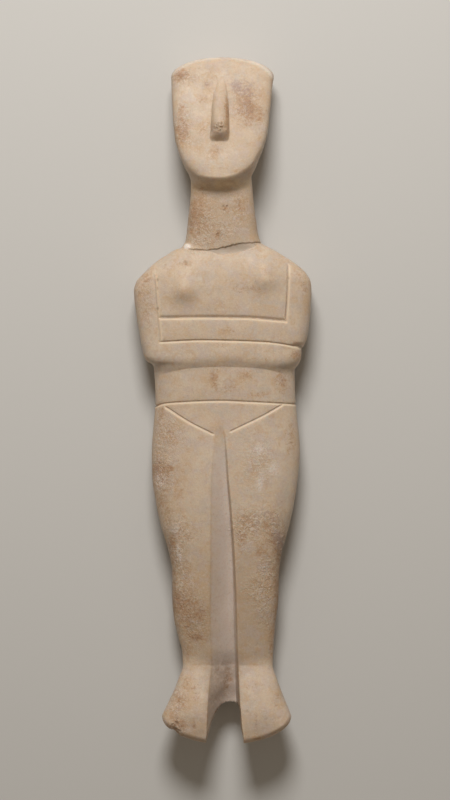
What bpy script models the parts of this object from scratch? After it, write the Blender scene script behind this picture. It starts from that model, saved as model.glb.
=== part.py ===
"""A marble folded-arm figurine in the Cycladic manner, carved from one block, lying on its back.

The head end points to +Y and the face to +Z. The figure rests on its shoulder blades and buttocks.
The form is a lofted skin: oval sections follow one another from crown to toes, and the carving is
laid on that skin as heights. Tables are drawn in millimetres on a figure of the drawn sizes below,
and the driving dimensions stretch them.
"""

import bmesh
import bpy
import numpy as np

# Driving dimensions, in metres
FIGURE_LENGTH = 0.400
SHOULDER_WIDTH = 0.1037
CHEST_DEPTH = 0.0345
NOSE_HEIGHT = 0.0070
BREAST_HEIGHT = 0.0030
CHEST_SET_BACK = 0.0008
GROOVE_WIDTH = 0.0022
GROOVE_DEPTH = 0.0010
LEG_CHANNEL_DEPTH = 0.0080
WEB_THICKNESS = 0.0030
BACK_CLEFT_DEPTH = 0.0045
SPINE_WIDTH = 0.0034
SPINE_DEPTH = 0.0011
BREAK_WIDTH = 0.0012
BREAK_DEPTH = 0.0008
NECK_CREASE_DEPTH = 0.0005

# The sizes at which the tables are drawn, in millimetres
DRAWN_LENGTH = 400.0
DRAWN_WIDTH = 103.7
DRAWN_DEPTH = 34.5

# Resolution of the skin before it is thinned, and the share of its triangles that stay
COLUMNS_PER_FACE = 150
ROW_STEP = 1.2
END_ROWS = 12
CHORDS_PER_POINT = 8
KEPT_TRIANGLES = 0.042
WELD_DISTANCE = 0.000001

# Length over which the crown and the toes round off, and how far their ends bow
CROWN_ROUNDING = 4.5
TOE_ROUNDING = 3.4
CROWN_BOW = 11.7
CROWN_BOW_REACH = 46.0
TOE_FAN_TIP = 400.6
TOE_BOW = 16.0
TOE_BOW_REACH = 47.0

# Outline: (distance from crown, left edge, right edge), across the figure's mid-line
OUTLINE = (
    (11.7, -31.4, 28.6),
    (16.3, -31.2, 27.8),
    (39.7, -29.9, 25.5),
    (48.4, -29.0, 23.9),
    (54.2, -27.6, 22.1),
    (60.1, -25.6, 19.8),
    (65.9, -22.9, 17.4),
    (70.6, -20.3, 15.4),
    (73.5, -19.7, 15.6),
    (95.0, -21.5, 18.1),
    (108.5, -23.2, 20.9),
    (110.8, -24.2, 24.6),
    (112.5, -28.5, 28.0),
    (116.0, -34.3, 33.9),
    (119.5, -39.6, 39.5),
    (127.7, -48.5, 48.2),
    (131.5, -51.7, 50.0),
    (137.0, -53.2, 50.5),
    (153.4, -51.4, 49.4),
    (163.8, -49.7, 48.0),
    (168.5, -48.8, 46.3),
    (171.0, -48.2, 44.6),
    (174.9, -47.2, 44.5),
    (177.8, -45.4, 43.8),
    (180.2, -41.9, 42.5),
    (183.0, -41.4, 40.7),
    (200.0, -40.7, 41.3),
    (231.5, -42.7, 43.8),
    (246.7, -42.3, 42.5),
    (258.3, -40.8, 40.7),
    (270.0, -38.4, 38.5),
    (293.3, -32.0, 32.6),
    (300.3, -31.0, 31.7),
    (316.6, -30.8, 31.1),
    (328.3, -29.6, 29.9),
    (339.9, -27.0, 28.6),
    (350.0, -24.9, 28.0),
    (355.7, -24.7, 28.0),
    (363.3, -27.2, 30.3),
    (384.3, -36.6, 38.6),
)

# Side view: (distance from crown, height above the ground), for the face, the neck and chest, and the legs
FACE_HEIGHT = ((0, 22.5), (12, 26.0), (31, 32.6), (54, 39.6), (64, 41.8), (80, 43.2))
CHEST_HEIGHT = (
    (60, 31.6),
    (90, 31.0),
    (109, 29.7),
    (112.5, 29.3),
    (119, 31.4),
    (127, 33.2),
    (137, 34.0),
    (155, 34.3),
    (168, 34.5),
    (185, 34.5),
)
LEG_HEIGHT = (
    (170, 32.3),
    (182, 32.5),
    (201, 32.3),
    (217, 32.9),
    (240, 34.1),
    (262, 34.6),
    (282, 33.8),
    (305, 31.4),
    (328, 27.8),
    (346, 24.4),
    (354.8, 23.0),
    (357.2, 23.7),
    (366, 27.9),
    (375, 31.6),
    (385, 34.3),
    (393, 35.3),
    (400, 35.4),
)
EDGE_HEIGHT = (
    (0, 15.0),
    (12, 15.5),
    (31, 20.0),
    (54, 25.6),
    (66, 27.0),
    (73, 23.6),
    (82, 20.0),
    (109, 18.0),
    (120, 16.5),
    (200, 16.0),
    (250, 17.5),
    (305, 17.0),
    (346, 14.0),
    (357, 14.6),
    (375, 20.5),
    (400, 31.5),
)
BACK_HEIGHT = (
    (0, 7.5),
    (8, 4.0),
    (16, 2.6),
    (28, 2.6),
    (45, 5.2),
    (60, 8.6),
    (75, 11.2),
    (95, 10.6),
    (108, 7.6),
    (116, 3.6),
    (124, 0.9),
    (131, -0.6),
    (160, -0.6),
    (172, 0.4),
    (185, 2.4),
    (197, 3.4),
    (208, 2.6),
    (220, 0.3),
    (228, -0.6),
    (238, -0.6),
    (247, 1.2),
    (256, 3.2),
    (275, 4.2),
    (300, 5.0),
    (318, 3.8),
    (332, 3.6),
    (346, 6.2),
    (354, 8.2),
    (360, 7.4),
    (366, 5.6),
    (372, 8.0),
    (386, 17.6),
    (400, 27.5),
)

# How square each section is, where 2 is an ellipse: (distance from crown, exponent)
FRONT_SQUARENESS = (
    (0, 3.5),
    (15, 5.0),
    (60, 5.0),
    (74, 3.0),
    (108, 3.0),
    (122, 4.6),
    (175, 4.6),
    (185, 3.0),
    (350, 2.9),
    (362, 4.0),
    (400, 5.0),
)
BACK_SQUARENESS = (
    (0, 2.6),
    (60, 2.2),
    (100, 2.2),
    (125, 3.6),
    (175, 3.6),
    (200, 3.0),
    (350, 2.6),
    (400, 4.0),
)

# Lines of the carving: points (across, distance from crown)
CHIN_LINE = (
    (-24.5, 63.5),
    (-17.5, 69.9),
    (-3.0, 71.8),
    (5.2, 70.2),
    (15.0, 63.8),
    (18.6, 57.6),
    (21.6, 53.0),
    (24.2, 46.0),
    (27.5, 34.0),
)
THROAT_LINE = (
    (-25.0, 76.0),
    (-14.0, 78.8),
    (0.0, 79.6),
    (10.0, 78.4),
    (17.0, 75.0),
    (21.0, 68.0),
    (28.0, 56.0),
)
NECK_CREASE = ((-24.0, 113.0), (-10.0, 114.6), (0.0, 115.4), (9.0, 113.9), (19.5, 109.8))
BREAK_LINE = ((-24.0, 111.6), (-10.0, 113.1), (2.9, 110.4), (9.9, 109.0), (20.5, 108.5))
FOREARM_TOP = ((-37.6, 153.0), (-12.0, 152.6), (10.0, 152.8), (34.8, 154.6))
FOREARM_PARTING = ((-37.6, 166.7), (-14.0, 165.7), (22.7, 166.7), (33.9, 168.0), (46.0, 170.4))
FOREARM_UNDERSIDE = (
    (-44.0, 178.3),
    (-38.8, 180.4),
    (-26.0, 180.4),
    (-2.0, 178.9),
    (10.0, 179.4),
    (23.6, 180.9),
    (35.6, 181.7),
    (42.0, 181.3),
)
BELLY_TOP = (
    (-42.0, 188.0),
    (-34.0, 184.8),
    (-20.0, 182.0),
    (-2.0, 181.2),
    (18.0, 181.9),
    (34.0, 185.2),
    (42.0, 189.0),
)
LEFT_ARM_LINE = ((-40.5, 128.0), (-39.3, 144.0), (-38.4, 156.5), (-37.6, 166.7))
RIGHT_ARM_LINE = ((36.7, 122.7), (36.4, 135.1), (35.2, 154.9))
WAIST_LINE = ((-40.5, 204.2), (-36.3, 202.7), (-26.0, 201.8), (-2.0, 200.9), (9.9, 201.4), (41.0, 202.9))
LEFT_GROIN_LINE = ((-34.1, 204.6), (-20.9, 213.0), (-7.2, 219.9))
RIGHT_GROIN_LINE = ((33.0, 203.4), (23.6, 208.8), (3.5, 218.5))
SPINE_LINE = ((-1.0, 122.0), (-1.0, 160.0), (-0.5, 206.0))

# Nose: (distance from crown, left side, right side) and its share of the full height
NOSE_SIDES = (
    (12, -4.2, -0.6),
    (17.6, -5.0, 0.8),
    (22.4, -6.6, 1.5),
    (28.3, -7.4, 2.1),
    (37.0, -8.0, 2.3),
    (45.7, -8.5, 2.5),
    (47.8, -9.0, 2.5),
    (50.6, -7.7, 1.6),
)
NOSE_RISE = ((12, 0.0), (19.2, 0.16), (30.9, 0.55), (42.0, 1.0), (44.8, 0.88), (49.6, 0.12), (50.4, 0.0))
NOSE_SQUARENESS = 2.2
NOSE_FULLNESS = 0.75

# Breasts: (across, distance from crown), radius across, radius above and radius below
BREASTS = ((-24.0, 136.7), (23.2, 130.0))
BREAST_RADII = (6.8, 11.0, 6.5)

# Channel between the legs: (distance from crown, left edge, right edge), its share of the full depth, the
# lengths of its slanting left side and its steep right wall, and how rounded the left side's foot is
CHANNEL_EDGES = (
    (214, -3.6, -1.6),
    (223.7, -6.3, 0.6),
    (245.8, -8.3, 2.2),
    (265.3, -8.6, 4.0),
    (300, -8.8, 6.2),
    (322.5, -9.2, 7.2),
    (355.7, -8.4, 8.1),
    (366, -9.4, 8.5),
    (375, -10.1, 8.9),
    (400, -11.3, 10.8),
)
CHANNEL_RISE = (
    (214, 0.0),
    (224, 0.14),
    (240, 0.45),
    (264, 0.8),
    (300, 1.0),
    (346, 0.87),
    (356, 1.0),
    (366, 1.5),
    (376, 2.0),
    (400, 2.0),
)
CHANNEL_LEFT_WALL = (
    (214, 4.0),
    (245, 8.0),
    (300, 11.5),
    (346, 12.5),
    (366, 10.5),
    (376, 8.0),
    (400, 7.0),
)
CHANNEL_RIGHT_WALL = ((214, 1.2), (262, 1.3), (293, 1.8), (328, 2.8), (356, 2.4), (400, 2.2))
CHANNEL_FOOT = 0.25
CHANNEL_WALL_SHARE = 0.8
NARROWEST_SHARE = 0.05

# Cleft between the legs behind: (distance from crown, half width), and its share of the full depth
CLEFT_HALF_WIDTH = ((208, 1.2), (240, 3.0), (300, 3.6), (400, 4.5))
CLEFT_RISE = ((208, 0.0), (222, 0.45), (245, 0.85), (262, 1.0), (345, 1.0), (362, 0.75), (382, 0.0))

# Arched opening between the feet: points (across, distance from crown)
FOOT_ARCH = (
    (11.4, 408.0),
    (10.8, 399.0),
    (9.2, 389.7),
    (8.7, 381.6),
    (7.5, 378.2),
    (5.6, 377.0),
    (2.8, 376.6),
    (-0.4, 377.3),
    (-4.0, 380.6),
    (-6.6, 385.0),
    (-9.0, 392.0),
    (-11.0, 399.4),
    (-12.6, 408.0),
)
ARCH_CUTTER_HEIGHT = 0.080

# How far from their lines the chin and the forearms start to turn under
CHIN_TURN = -0.8
FOREARM_TURN = -4.8

# Lengths over which the chest rises to the forearms and to the upper arms, and starts below the neck
CHEST_FADE = 9.0
CHEST_SIDE_FADE = 4.5
CHEST_START = 116.0
CHEST_START_LENGTH = 12.0

MARBLE_COLOUR = (0.60, 0.50, 0.38, 1.0)
MARBLE_ROUGHNESS = 0.62


def through(points, column=1):
    """A smooth curve through the points of a table, which doesn't swing past any of them."""
    table = np.array(points, float)
    places, values = table[:, 0], table[:, column]
    gaps = np.diff(places)
    rises = np.diff(values) / gaps
    slopes = np.zeros(len(places))
    slopes[0], slopes[-1] = rises[0], rises[-1]
    for i in range(1, len(rises)):
        if rises[i - 1] * rises[i] > 0:
            before, after = 2 * gaps[i] + gaps[i - 1], gaps[i] + 2 * gaps[i - 1]
            slopes[i] = (before + after) / (before / rises[i - 1] + after / rises[i])

    def curve(place):
        inside = np.clip(place, places[0], places[-1])
        i = np.clip(np.searchsorted(places, inside, side="right") - 1, 0, len(gaps) - 1)
        t = (inside - places[i]) / gaps[i]
        start = (1 + 2 * t) * (1 - t) ** 2 * values[i] + t * (1 - t) ** 2 * gaps[i] * slopes[i]
        end = t * t * (3 - 2 * t) * values[i + 1] + t * t * (t - 1) * gaps[i] * slopes[i + 1]
        return start + end

    return curve


def eased(share):
    """0 to 1 along an S-shaped curve."""
    t = np.clip(share, 0, 1)
    return t * t * (3 - 2 * t)


def quarter_round(share):
    """0 to 1 along a quarter circle, steep at the start."""
    t = 1 - np.clip(share, 0, 1)
    return np.sqrt(np.clip(1 - t * t, 0, 1))


def distance_to_line(across, along, line):
    """Distance in drawn millimetres from each place to a smooth line through the points."""
    points = np.array(line, float)
    steps = np.concatenate([[0], np.cumsum(np.hypot(*np.diff(points, axis=0).T))])
    fine = np.linspace(0, steps[-1], CHORDS_PER_POINT * len(points))
    xs = through(np.column_stack([steps, points[:, 0]]))(fine)
    ys = through(np.column_stack([steps, points[:, 1]]))(fine)
    nearest = np.full(np.shape(across), np.inf)
    for x0, y0, x1, y1 in zip(xs[:-1], ys[:-1], xs[1:], ys[1:]):
        dx, dy = x1 - x0, y1 - y0
        t = np.clip(((across - x0) * dx + (along - y0) * dy) / (dx * dx + dy * dy), 0, 1)
        nearest = np.minimum(nearest, np.hypot(across - x0 - t * dx, along - y0 - t * dy))
    return nearest


def line_height(across, line):
    """Distance from the crown at which a line that runs across the figure is crossed."""
    return through(line)(across)


def line_place(along, line):
    """Place across at which a line that runs down the figure is crossed."""
    return through([(y, x) for x, y in line])(along)


def front_height(across, along):
    """Height of the front above the ground, before the nose, breasts and channel."""
    chin = line_height(across, CHIN_LINE) + CHIN_TURN
    under_chin = eased((along - chin) / (line_height(across, THROAT_LINE) - chin))
    forearm = line_height(across, FOREARM_UNDERSIDE) + FOREARM_TURN
    under_forearm = np.clip((along - forearm) / (line_height(across, BELLY_TOP) - forearm), 0, 1) ** 2
    body = through(LEG_HEIGHT)(along) * under_forearm + through(CHEST_HEIGHT)(along) * (1 - under_forearm)
    return body * under_chin + through(FACE_HEIGHT)(along) * (1 - under_chin)


def nose(across, along):
    """Height of the nose above the face: a long ridge that ends in a slanting underside."""
    left, right = through(NOSE_SIDES)(along), through(NOSE_SIDES, 2)(along)
    aside = np.abs(across - (left + right) / 2) / ((right - left) / 2)
    section = (1 - np.minimum(aside, 1) ** NOSE_SQUARENESS) ** NOSE_FULLNESS
    return NOSE_HEIGHT * through(NOSE_RISE)(along) * section


def breasts(across, along):
    """Two low mounds, steeper below than above."""
    total = np.zeros(np.shape(across))
    for x, y in BREASTS:
        reach = np.where(along > y, BREAST_RADII[2], BREAST_RADII[1])
        total += np.exp(-(((across - x) / BREAST_RADII[0]) ** 2) - ((along - y) / reach) ** 2)
    return BREAST_HEIGHT * total


def leg_channel(across, along):
    """Depth of the channel between the legs in front, with a slanting left wall and a steep right one."""
    from_left = across - through(CHANNEL_EDGES)(along)
    from_right = through(CHANNEL_EDGES, 2)(along) - across
    left_wall, right_wall = through(CHANNEL_LEFT_WALL)(along), through(CHANNEL_RIGHT_WALL)(along)
    widest = CHANNEL_WALL_SHARE * (from_left + from_right) / (left_wall + right_wall)
    fit = np.clip(widest, NARROWEST_SHARE, 1)
    to_floor = 1 - from_left / (left_wall * fit)
    left = np.clip(1 - (to_floor + np.hypot(to_floor, CHANNEL_FOOT)) / 2, 0, 1)
    right = eased(from_right / (right_wall * fit))
    return LEG_CHANNEL_DEPTH * through(CHANNEL_RISE)(along) * left * right


def back_cleft(across, along):
    """Depth of the cleft that parts buttocks and legs behind."""
    aside = np.abs(across) / through(CLEFT_HALF_WIDTH)(along)
    return BACK_CLEFT_DEPTH * through(CLEFT_RISE)(along) * eased(1 - aside)


def chest_set_back(across, along):
    """Depth by which the chest lies behind the arms and forearms round it."""
    above = line_height(across, FOREARM_TOP) - along
    from_left = across - line_place(along, LEFT_ARM_LINE)
    from_right = line_place(along, RIGHT_ARM_LINE) - across
    inside = (above > 0) & (from_left > 0) & (from_right > 0)
    from_sides = np.maximum(np.exp(-from_right / CHEST_SIDE_FADE), np.exp(-from_left / CHEST_SIDE_FADE) / 2)
    depth = np.maximum(np.exp(-above / CHEST_FADE), from_sides)
    return CHEST_SET_BACK * np.where(inside, depth, 0) * eased((along - CHEST_START) / CHEST_START_LENGTH)


def groove(across, along, line, width, depth):
    """Depth of an incised line with sloping walls."""
    away = distance_to_line(across, along, line) * FIGURE_LENGTH / DRAWN_LENGTH
    return depth * np.clip(1 - away / (width / 2), 0, 1)


def front_carving(across, along):
    """Depth of the incised lines of the front: arms, waist, groin and the mended break at the neck."""
    arm_lines = (FOREARM_TOP, FOREARM_PARTING, LEFT_ARM_LINE, RIGHT_ARM_LINE)
    belly_lines = (WAIST_LINE, LEFT_GROIN_LINE, RIGHT_GROIN_LINE)
    depths = [groove(across, along, line, GROOVE_WIDTH, GROOVE_DEPTH) for line in arm_lines + belly_lines]
    depths.append(groove(across, along, BREAK_LINE, BREAK_WIDTH, BREAK_DEPTH))
    depths.append(groove(across, along, NECK_CREASE, GROOVE_WIDTH, NECK_CREASE_DEPTH))
    return np.max(depths, axis=0) + chest_set_back(across, along)


def back_carving(across, along):
    """Depth of the incised lines of the back: spine, waist and the break at the neck."""
    depths = [groove(across, along, SPINE_LINE, SPINE_WIDTH, SPINE_DEPTH)]
    depths.append(groove(across, along, WAIST_LINE, GROOVE_WIDTH, GROOVE_DEPTH))
    depths.append(groove(across, along, BREAK_LINE, BREAK_WIDTH, BREAK_DEPTH))
    return np.max(depths, axis=0)


def rows_along():
    """Distances from the crown of the sections, closer together where the ends round off."""
    turn = 1 - np.cos(np.linspace(0, np.pi / 2, END_ROWS))
    count = round((TOE_FAN_TIP - CROWN_ROUNDING - TOE_ROUNDING) / ROW_STEP)
    middle = np.linspace(CROWN_ROUNDING, TOE_FAN_TIP - TOE_ROUNDING, count)
    return np.concatenate([CROWN_ROUNDING * turn, middle[1:-1], TOE_FAN_TIP - TOE_ROUNDING * turn[::-1]])


def metres(across, along, height):
    """Drawn places and a height in metres as points of the model, with its box centred on the origin."""
    edges = np.array(OUTLINE)
    middle = (edges[:, 1].min() + edges[:, 2].max()) / 2
    x = (across - middle) * SHOULDER_WIDTH / DRAWN_WIDTH
    y = (DRAWN_LENGTH / 2 - along) * FIGURE_LENGTH / DRAWN_LENGTH
    return np.stack(np.broadcast_arrays(x, y, height), axis=-1)


def skin():
    """Points of the whole surface as an array of sections by columns: the front first, then the back."""
    start = rows_along()[:, None]
    half_turn = np.linspace(-np.pi / 2, np.pi / 2, COLUMNS_PER_FACE + 1)
    aside = np.sin(np.concatenate([half_turn, half_turn[::-1][1:]]))[None, :]
    front = (np.arange(aside.shape[1]) <= COLUMNS_PER_FACE)[None, :]

    bow = CROWN_BOW * (1 - eased(start / CROWN_BOW_REACH))
    bow = bow - TOE_BOW * eased((start - TOE_FAN_TIP + TOE_BOW_REACH) / TOE_BOW_REACH)
    left, right = through(OUTLINE)(start + bow), through(OUTLINE, 2)(start + bow)
    across = (left + right) / 2 + (right - left) / 2 * aside
    along = start + bow * (1 - np.sqrt(np.clip(1 - aside * aside, 0, 1)))

    ends = quarter_round(start / CROWN_ROUNDING) * quarter_round((TOE_FAN_TIP - start) / TOE_ROUNDING)
    square = np.where(front, through(FRONT_SQUARENESS)(along), through(BACK_SQUARENESS)(along))
    fullness = (1 - np.abs(aside) ** square) ** (1 / square) * ends
    deep = CHEST_DEPTH / DRAWN_DEPTH
    edge = through(EDGE_HEIGHT)(along) * deep
    back = through(BACK_HEIGHT)(along) * deep
    raised = front_height(across, along) * deep + nose(across, along) + breasts(across, along)
    above = np.maximum(raised - leg_channel(across, along), back + WEB_THICKNESS)
    outer = np.where(front, above, back + back_cleft(across, along))
    return metres(across, along, edge + (outer - edge) * fullness), across, along, front


def outward(points):
    """Unit vectors that stand on the surface, pointing out."""
    down, round_about = np.gradient(points, axis=0), np.gradient(points, axis=1)
    stand = np.cross(round_about, down)
    length = np.linalg.norm(stand, axis=-1, keepdims=True)
    return -stand / np.maximum(length, 1e-12)


def carved_skin():
    """The surface with its incised lines cut in, and flat where it meets the ground."""
    points, across, along, front = skin()
    depth = np.where(front, front_carving(across, along), back_carving(across, along))
    points = points - outward(points) * depth[..., None]
    points[..., 2] = np.maximum(points[..., 2], 0)
    points[:, [0, -1]] = (points[:, :1] + points[:, -1:]) / 2
    return points


def wrap_grid(points):
    """A mesh closed round the figure from a grid with one vertex for each point of the surface."""
    rows, columns = points.shape[:2]
    sheet = bmesh.new()
    bmesh.ops.create_grid(sheet, x_segments=columns - 1, y_segments=rows - 1, size=1)
    for vertex in sheet.verts:
        column = round((vertex.co.x + 1) / 2 * (columns - 1))
        row = round((vertex.co.y + 1) / 2 * (rows - 1))
        vertex.co = points[row, column]
    bmesh.ops.remove_doubles(sheet, verts=sheet.verts, dist=WELD_DISTANCE)
    bmesh.ops.recalc_face_normals(sheet, faces=sheet.faces)
    mesh = bpy.data.meshes.new("figurine")
    sheet.to_mesh(mesh)
    sheet.free()
    return mesh


def marble():
    """The finish of the stone: warm, matt and slightly yellow."""
    material = bpy.data.materials.new("aged_marble")
    material.use_nodes = True
    shader = material.node_tree.nodes["Principled BSDF"]
    shader.inputs["Base Color"].default_value = MARBLE_COLOUR
    shader.inputs["Roughness"].default_value = MARBLE_ROUGHNESS
    shader.inputs["Metallic"].default_value = 0.0
    material.diffuse_color = MARBLE_COLOUR
    return material


def foot_arch_cutter(collection):
    """A tall block with the outline of the opening between the feet."""
    outline = bpy.data.curves.new("foot_arch_outline", "CURVE")
    outline.dimensions = "2D"
    outline.fill_mode = "BOTH"
    outline.extrude = ARCH_CUTTER_HEIGHT / 2
    line = outline.splines.new("POLY")
    line.points.add(len(FOOT_ARCH) - 1)
    for point, (across, along) in zip(line.points, FOOT_ARCH):
        point.co = (*metres(across, along, 0.0), 1.0)
    line.use_cyclic_u = True
    guide = bpy.data.objects.new("foot_arch_outline", outline)
    collection.objects.link(guide)
    bpy.context.view_layer.update()

    graph = bpy.context.evaluated_depsgraph_get()
    mesh = bpy.data.meshes.new_from_object(guide.evaluated_get(graph))
    bpy.data.objects.remove(guide)
    block = bmesh.new()
    block.from_mesh(mesh)
    bmesh.ops.remove_doubles(block, verts=block.verts, dist=WELD_DISTANCE)
    bmesh.ops.recalc_face_normals(block, faces=block.faces)
    block.to_mesh(mesh)
    block.free()

    cutter = bpy.data.objects.new("foot_arch_cutter", mesh)
    collection.objects.link(cutter)
    cutter.hide_render = True
    cutter.display_type = "WIRE"
    return cutter


def figurine(collection, cutters):
    """The whole figure as one solid."""
    solid = bpy.data.objects.new("figurine", wrap_grid(carved_skin()))
    solid.data.materials.append(marble())
    collection.objects.link(solid)

    opening = solid.modifiers.new("opening between the feet", "BOOLEAN")
    opening.operation = "DIFFERENCE"
    opening.solver = "EXACT"
    opening.object = foot_arch_cutter(cutters)

    thin = solid.modifiers.new("fewer faces", "DECIMATE")
    thin.ratio = KEPT_TRIANGLES
    solid.data.shade_smooth()
    return solid


def new_collection(name):
    collection = bpy.data.collections.new(name)
    bpy.context.scene.collection.children.link(collection)
    return collection


def main():
    for old in list(bpy.data.objects):
        bpy.data.objects.remove(old)
    figurine(new_collection("cycladic figurine"), new_collection("cutters"))


main()
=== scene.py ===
"""The looks of a marble folded-arm figurine that lies on its back and is seen from straight above.

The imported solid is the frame. The stone's fine surface follows the same drawn sections as that solid,
and adds the tooling, breaks, pits and worn edges. All tables are in millimetres as drawn: places are
given across the figure from its mid-line, and along it from the crown.
"""

import bmesh
import bpy
import numpy as np
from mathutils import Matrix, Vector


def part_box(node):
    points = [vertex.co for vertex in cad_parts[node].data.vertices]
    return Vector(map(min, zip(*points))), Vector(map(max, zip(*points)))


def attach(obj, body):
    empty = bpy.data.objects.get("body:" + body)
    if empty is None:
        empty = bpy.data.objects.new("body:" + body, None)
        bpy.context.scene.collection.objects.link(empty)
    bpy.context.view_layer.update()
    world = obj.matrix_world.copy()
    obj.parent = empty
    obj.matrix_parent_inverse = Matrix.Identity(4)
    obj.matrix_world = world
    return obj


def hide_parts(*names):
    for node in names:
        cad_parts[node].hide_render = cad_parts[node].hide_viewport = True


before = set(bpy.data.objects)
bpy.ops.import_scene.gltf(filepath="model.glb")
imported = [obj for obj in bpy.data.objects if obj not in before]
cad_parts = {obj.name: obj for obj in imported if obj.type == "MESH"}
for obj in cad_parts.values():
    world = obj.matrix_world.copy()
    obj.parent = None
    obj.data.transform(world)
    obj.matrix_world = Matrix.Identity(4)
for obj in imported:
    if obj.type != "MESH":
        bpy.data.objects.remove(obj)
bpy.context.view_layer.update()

# The drawing that the solid was made from, and its place in the frame
DRAWN_REACH = 399.94
DRAWN_WIDTH = 103.63
DRAWN_HEIGHT = 43.35
LOW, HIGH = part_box("figurine")
MM_ALONG = (HIGH.y - LOW.y) / DRAWN_REACH
MM_ACROSS = (HIGH.x - LOW.x) / DRAWN_WIDTH
MM_DEEP = (HIGH.z - LOW.z) / DRAWN_HEIGHT

# Resolution of the skin before it is thinned, in millimetres, and the triangles that stay.
# Fine rows lie where the carving is fine, and each of the two rounded ends has its own rows
BACK_COLUMNS = 112
FRONT_PER_BACK = 3
ROW_STEP = 0.5
FINE_ROW_STEP = 0.3
FINE_ROWS = ((6, 15), (56, 76), (104, 119), (149, 158), (163, 184), (198, 221), (350, 362), (384, 402))
END_ROWS = 14
TRIANGLES = 184000
WELD_DISTANCE = 0.0000005
SMALLEST_NORMAL = 1e-12
SHARP_ANGLE = 62

# Rounding of the crown and the toes, and how far their ends bow
CROWN_ROUNDING = 4.5
TOE_ROUNDING = 3.4
CROWN_BOW = 11.7
CROWN_BOW_REACH = 46.0
TOE_FAN_TIP = 400.6
TOE_BOW = 16.0
TOE_BOW_REACH = 47.0

# Length at each end over which the carving fades in
END_MARGIN = 1.0

# Outline: (distance from crown, left edge, right edge)
OUTLINE = (
    (11.7, -31.4, 28.6),
    (16.3, -31.2, 27.8),
    (39.7, -29.9, 25.5),
    (48.4, -29.0, 23.9),
    (54.2, -27.6, 22.1),
    (60.1, -25.6, 19.8),
    (65.9, -22.9, 17.4),
    (70.6, -20.3, 15.4),
    (73.5, -19.7, 15.6),
    (95.0, -21.5, 18.1),
    (108.5, -23.2, 20.9),
    (110.8, -24.2, 24.6),
    (112.5, -28.5, 28.0),
    (116.0, -34.3, 33.9),
    (119.5, -39.6, 39.5),
    (127.7, -48.5, 48.2),
    (131.5, -51.7, 50.0),
    (137.0, -53.2, 50.5),
    (153.4, -51.4, 49.4),
    (163.8, -49.7, 48.0),
    (168.5, -48.8, 46.3),
    (171.0, -48.2, 44.6),
    (174.9, -47.2, 44.5),
    (177.8, -45.4, 43.8),
    (180.2, -41.9, 42.5),
    (183.0, -41.4, 40.7),
    (200.0, -40.7, 41.3),
    (231.5, -42.7, 43.8),
    (246.7, -42.3, 42.5),
    (258.3, -40.8, 40.7),
    (270.0, -38.4, 38.5),
    (293.3, -32.0, 32.6),
    (300.3, -31.0, 31.7),
    (316.6, -30.8, 31.1),
    (328.3, -29.6, 29.9),
    (339.9, -27.0, 28.6),
    (350.0, -24.9, 28.0),
    (355.7, -24.7, 28.0),
    (363.3, -27.2, 30.3),
    (384.3, -36.6, 38.6),
)

# Side view: (distance from crown, height above the ground)
FACE_HEIGHT = ((0, 22.5), (12, 26.0), (31, 32.6), (54, 39.6), (64, 41.8), (80, 43.2))
CHEST_HEIGHT = (
    (60, 31.6),
    (90, 31.0),
    (109, 29.7),
    (112.5, 29.3),
    (119, 31.4),
    (127, 33.2),
    (137, 34.0),
    (155, 34.3),
    (168, 34.5),
    (185, 34.5),
)
LEG_HEIGHT = (
    (170, 32.3),
    (182, 32.5),
    (201, 32.3),
    (217, 32.9),
    (240, 34.1),
    (262, 34.6),
    (282, 33.8),
    (305, 31.4),
    (328, 27.8),
    (346, 24.4),
    (354.8, 23.0),
    (357.2, 23.7),
    (366, 27.9),
    (375, 31.6),
    (385, 34.3),
    (393, 35.3),
    (400, 35.4),
)
EDGE_HEIGHT = (
    (0, 15.0),
    (12, 15.5),
    (31, 20.0),
    (54, 25.6),
    (66, 27.0),
    (73, 23.6),
    (82, 20.0),
    (109, 18.0),
    (120, 16.5),
    (200, 16.0),
    (250, 17.5),
    (305, 17.0),
    (346, 14.0),
    (357, 14.6),
    (375, 20.5),
    (400, 31.5),
)
BACK_HEIGHT = (
    (0, 7.5),
    (8, 4.0),
    (16, 2.6),
    (28, 2.6),
    (45, 5.2),
    (60, 8.6),
    (75, 11.2),
    (95, 10.6),
    (108, 7.6),
    (116, 3.6),
    (124, 0.9),
    (131, -0.6),
    (160, -0.6),
    (172, 0.4),
    (185, 2.4),
    (197, 3.4),
    (208, 2.6),
    (220, 0.3),
    (228, -0.6),
    (238, -0.6),
    (247, 1.2),
    (256, 3.2),
    (275, 4.2),
    (300, 5.0),
    (318, 3.8),
    (332, 3.6),
    (346, 6.2),
    (354, 8.2),
    (360, 7.4),
    (366, 5.6),
    (372, 8.0),
    (386, 17.6),
    (400, 27.5),
)

# How square each section is, where 2 is an ellipse: (distance from crown, exponent)
FRONT_SQUARENESS = (
    (0, 3.5),
    (15, 5.0),
    (60, 5.0),
    (74, 3.0),
    (108, 3.0),
    (122, 4.6),
    (175, 4.6),
    (185, 3.0),
    (350, 2.9),
    (362, 4.0),
    (400, 5.0),
)
BACK_SQUARENESS = (
    (0, 2.6),
    (60, 2.2),
    (100, 2.2),
    (125, 3.6),
    (175, 3.6),
    (200, 3.0),
    (350, 2.6),
    (400, 4.0),
)

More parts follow.
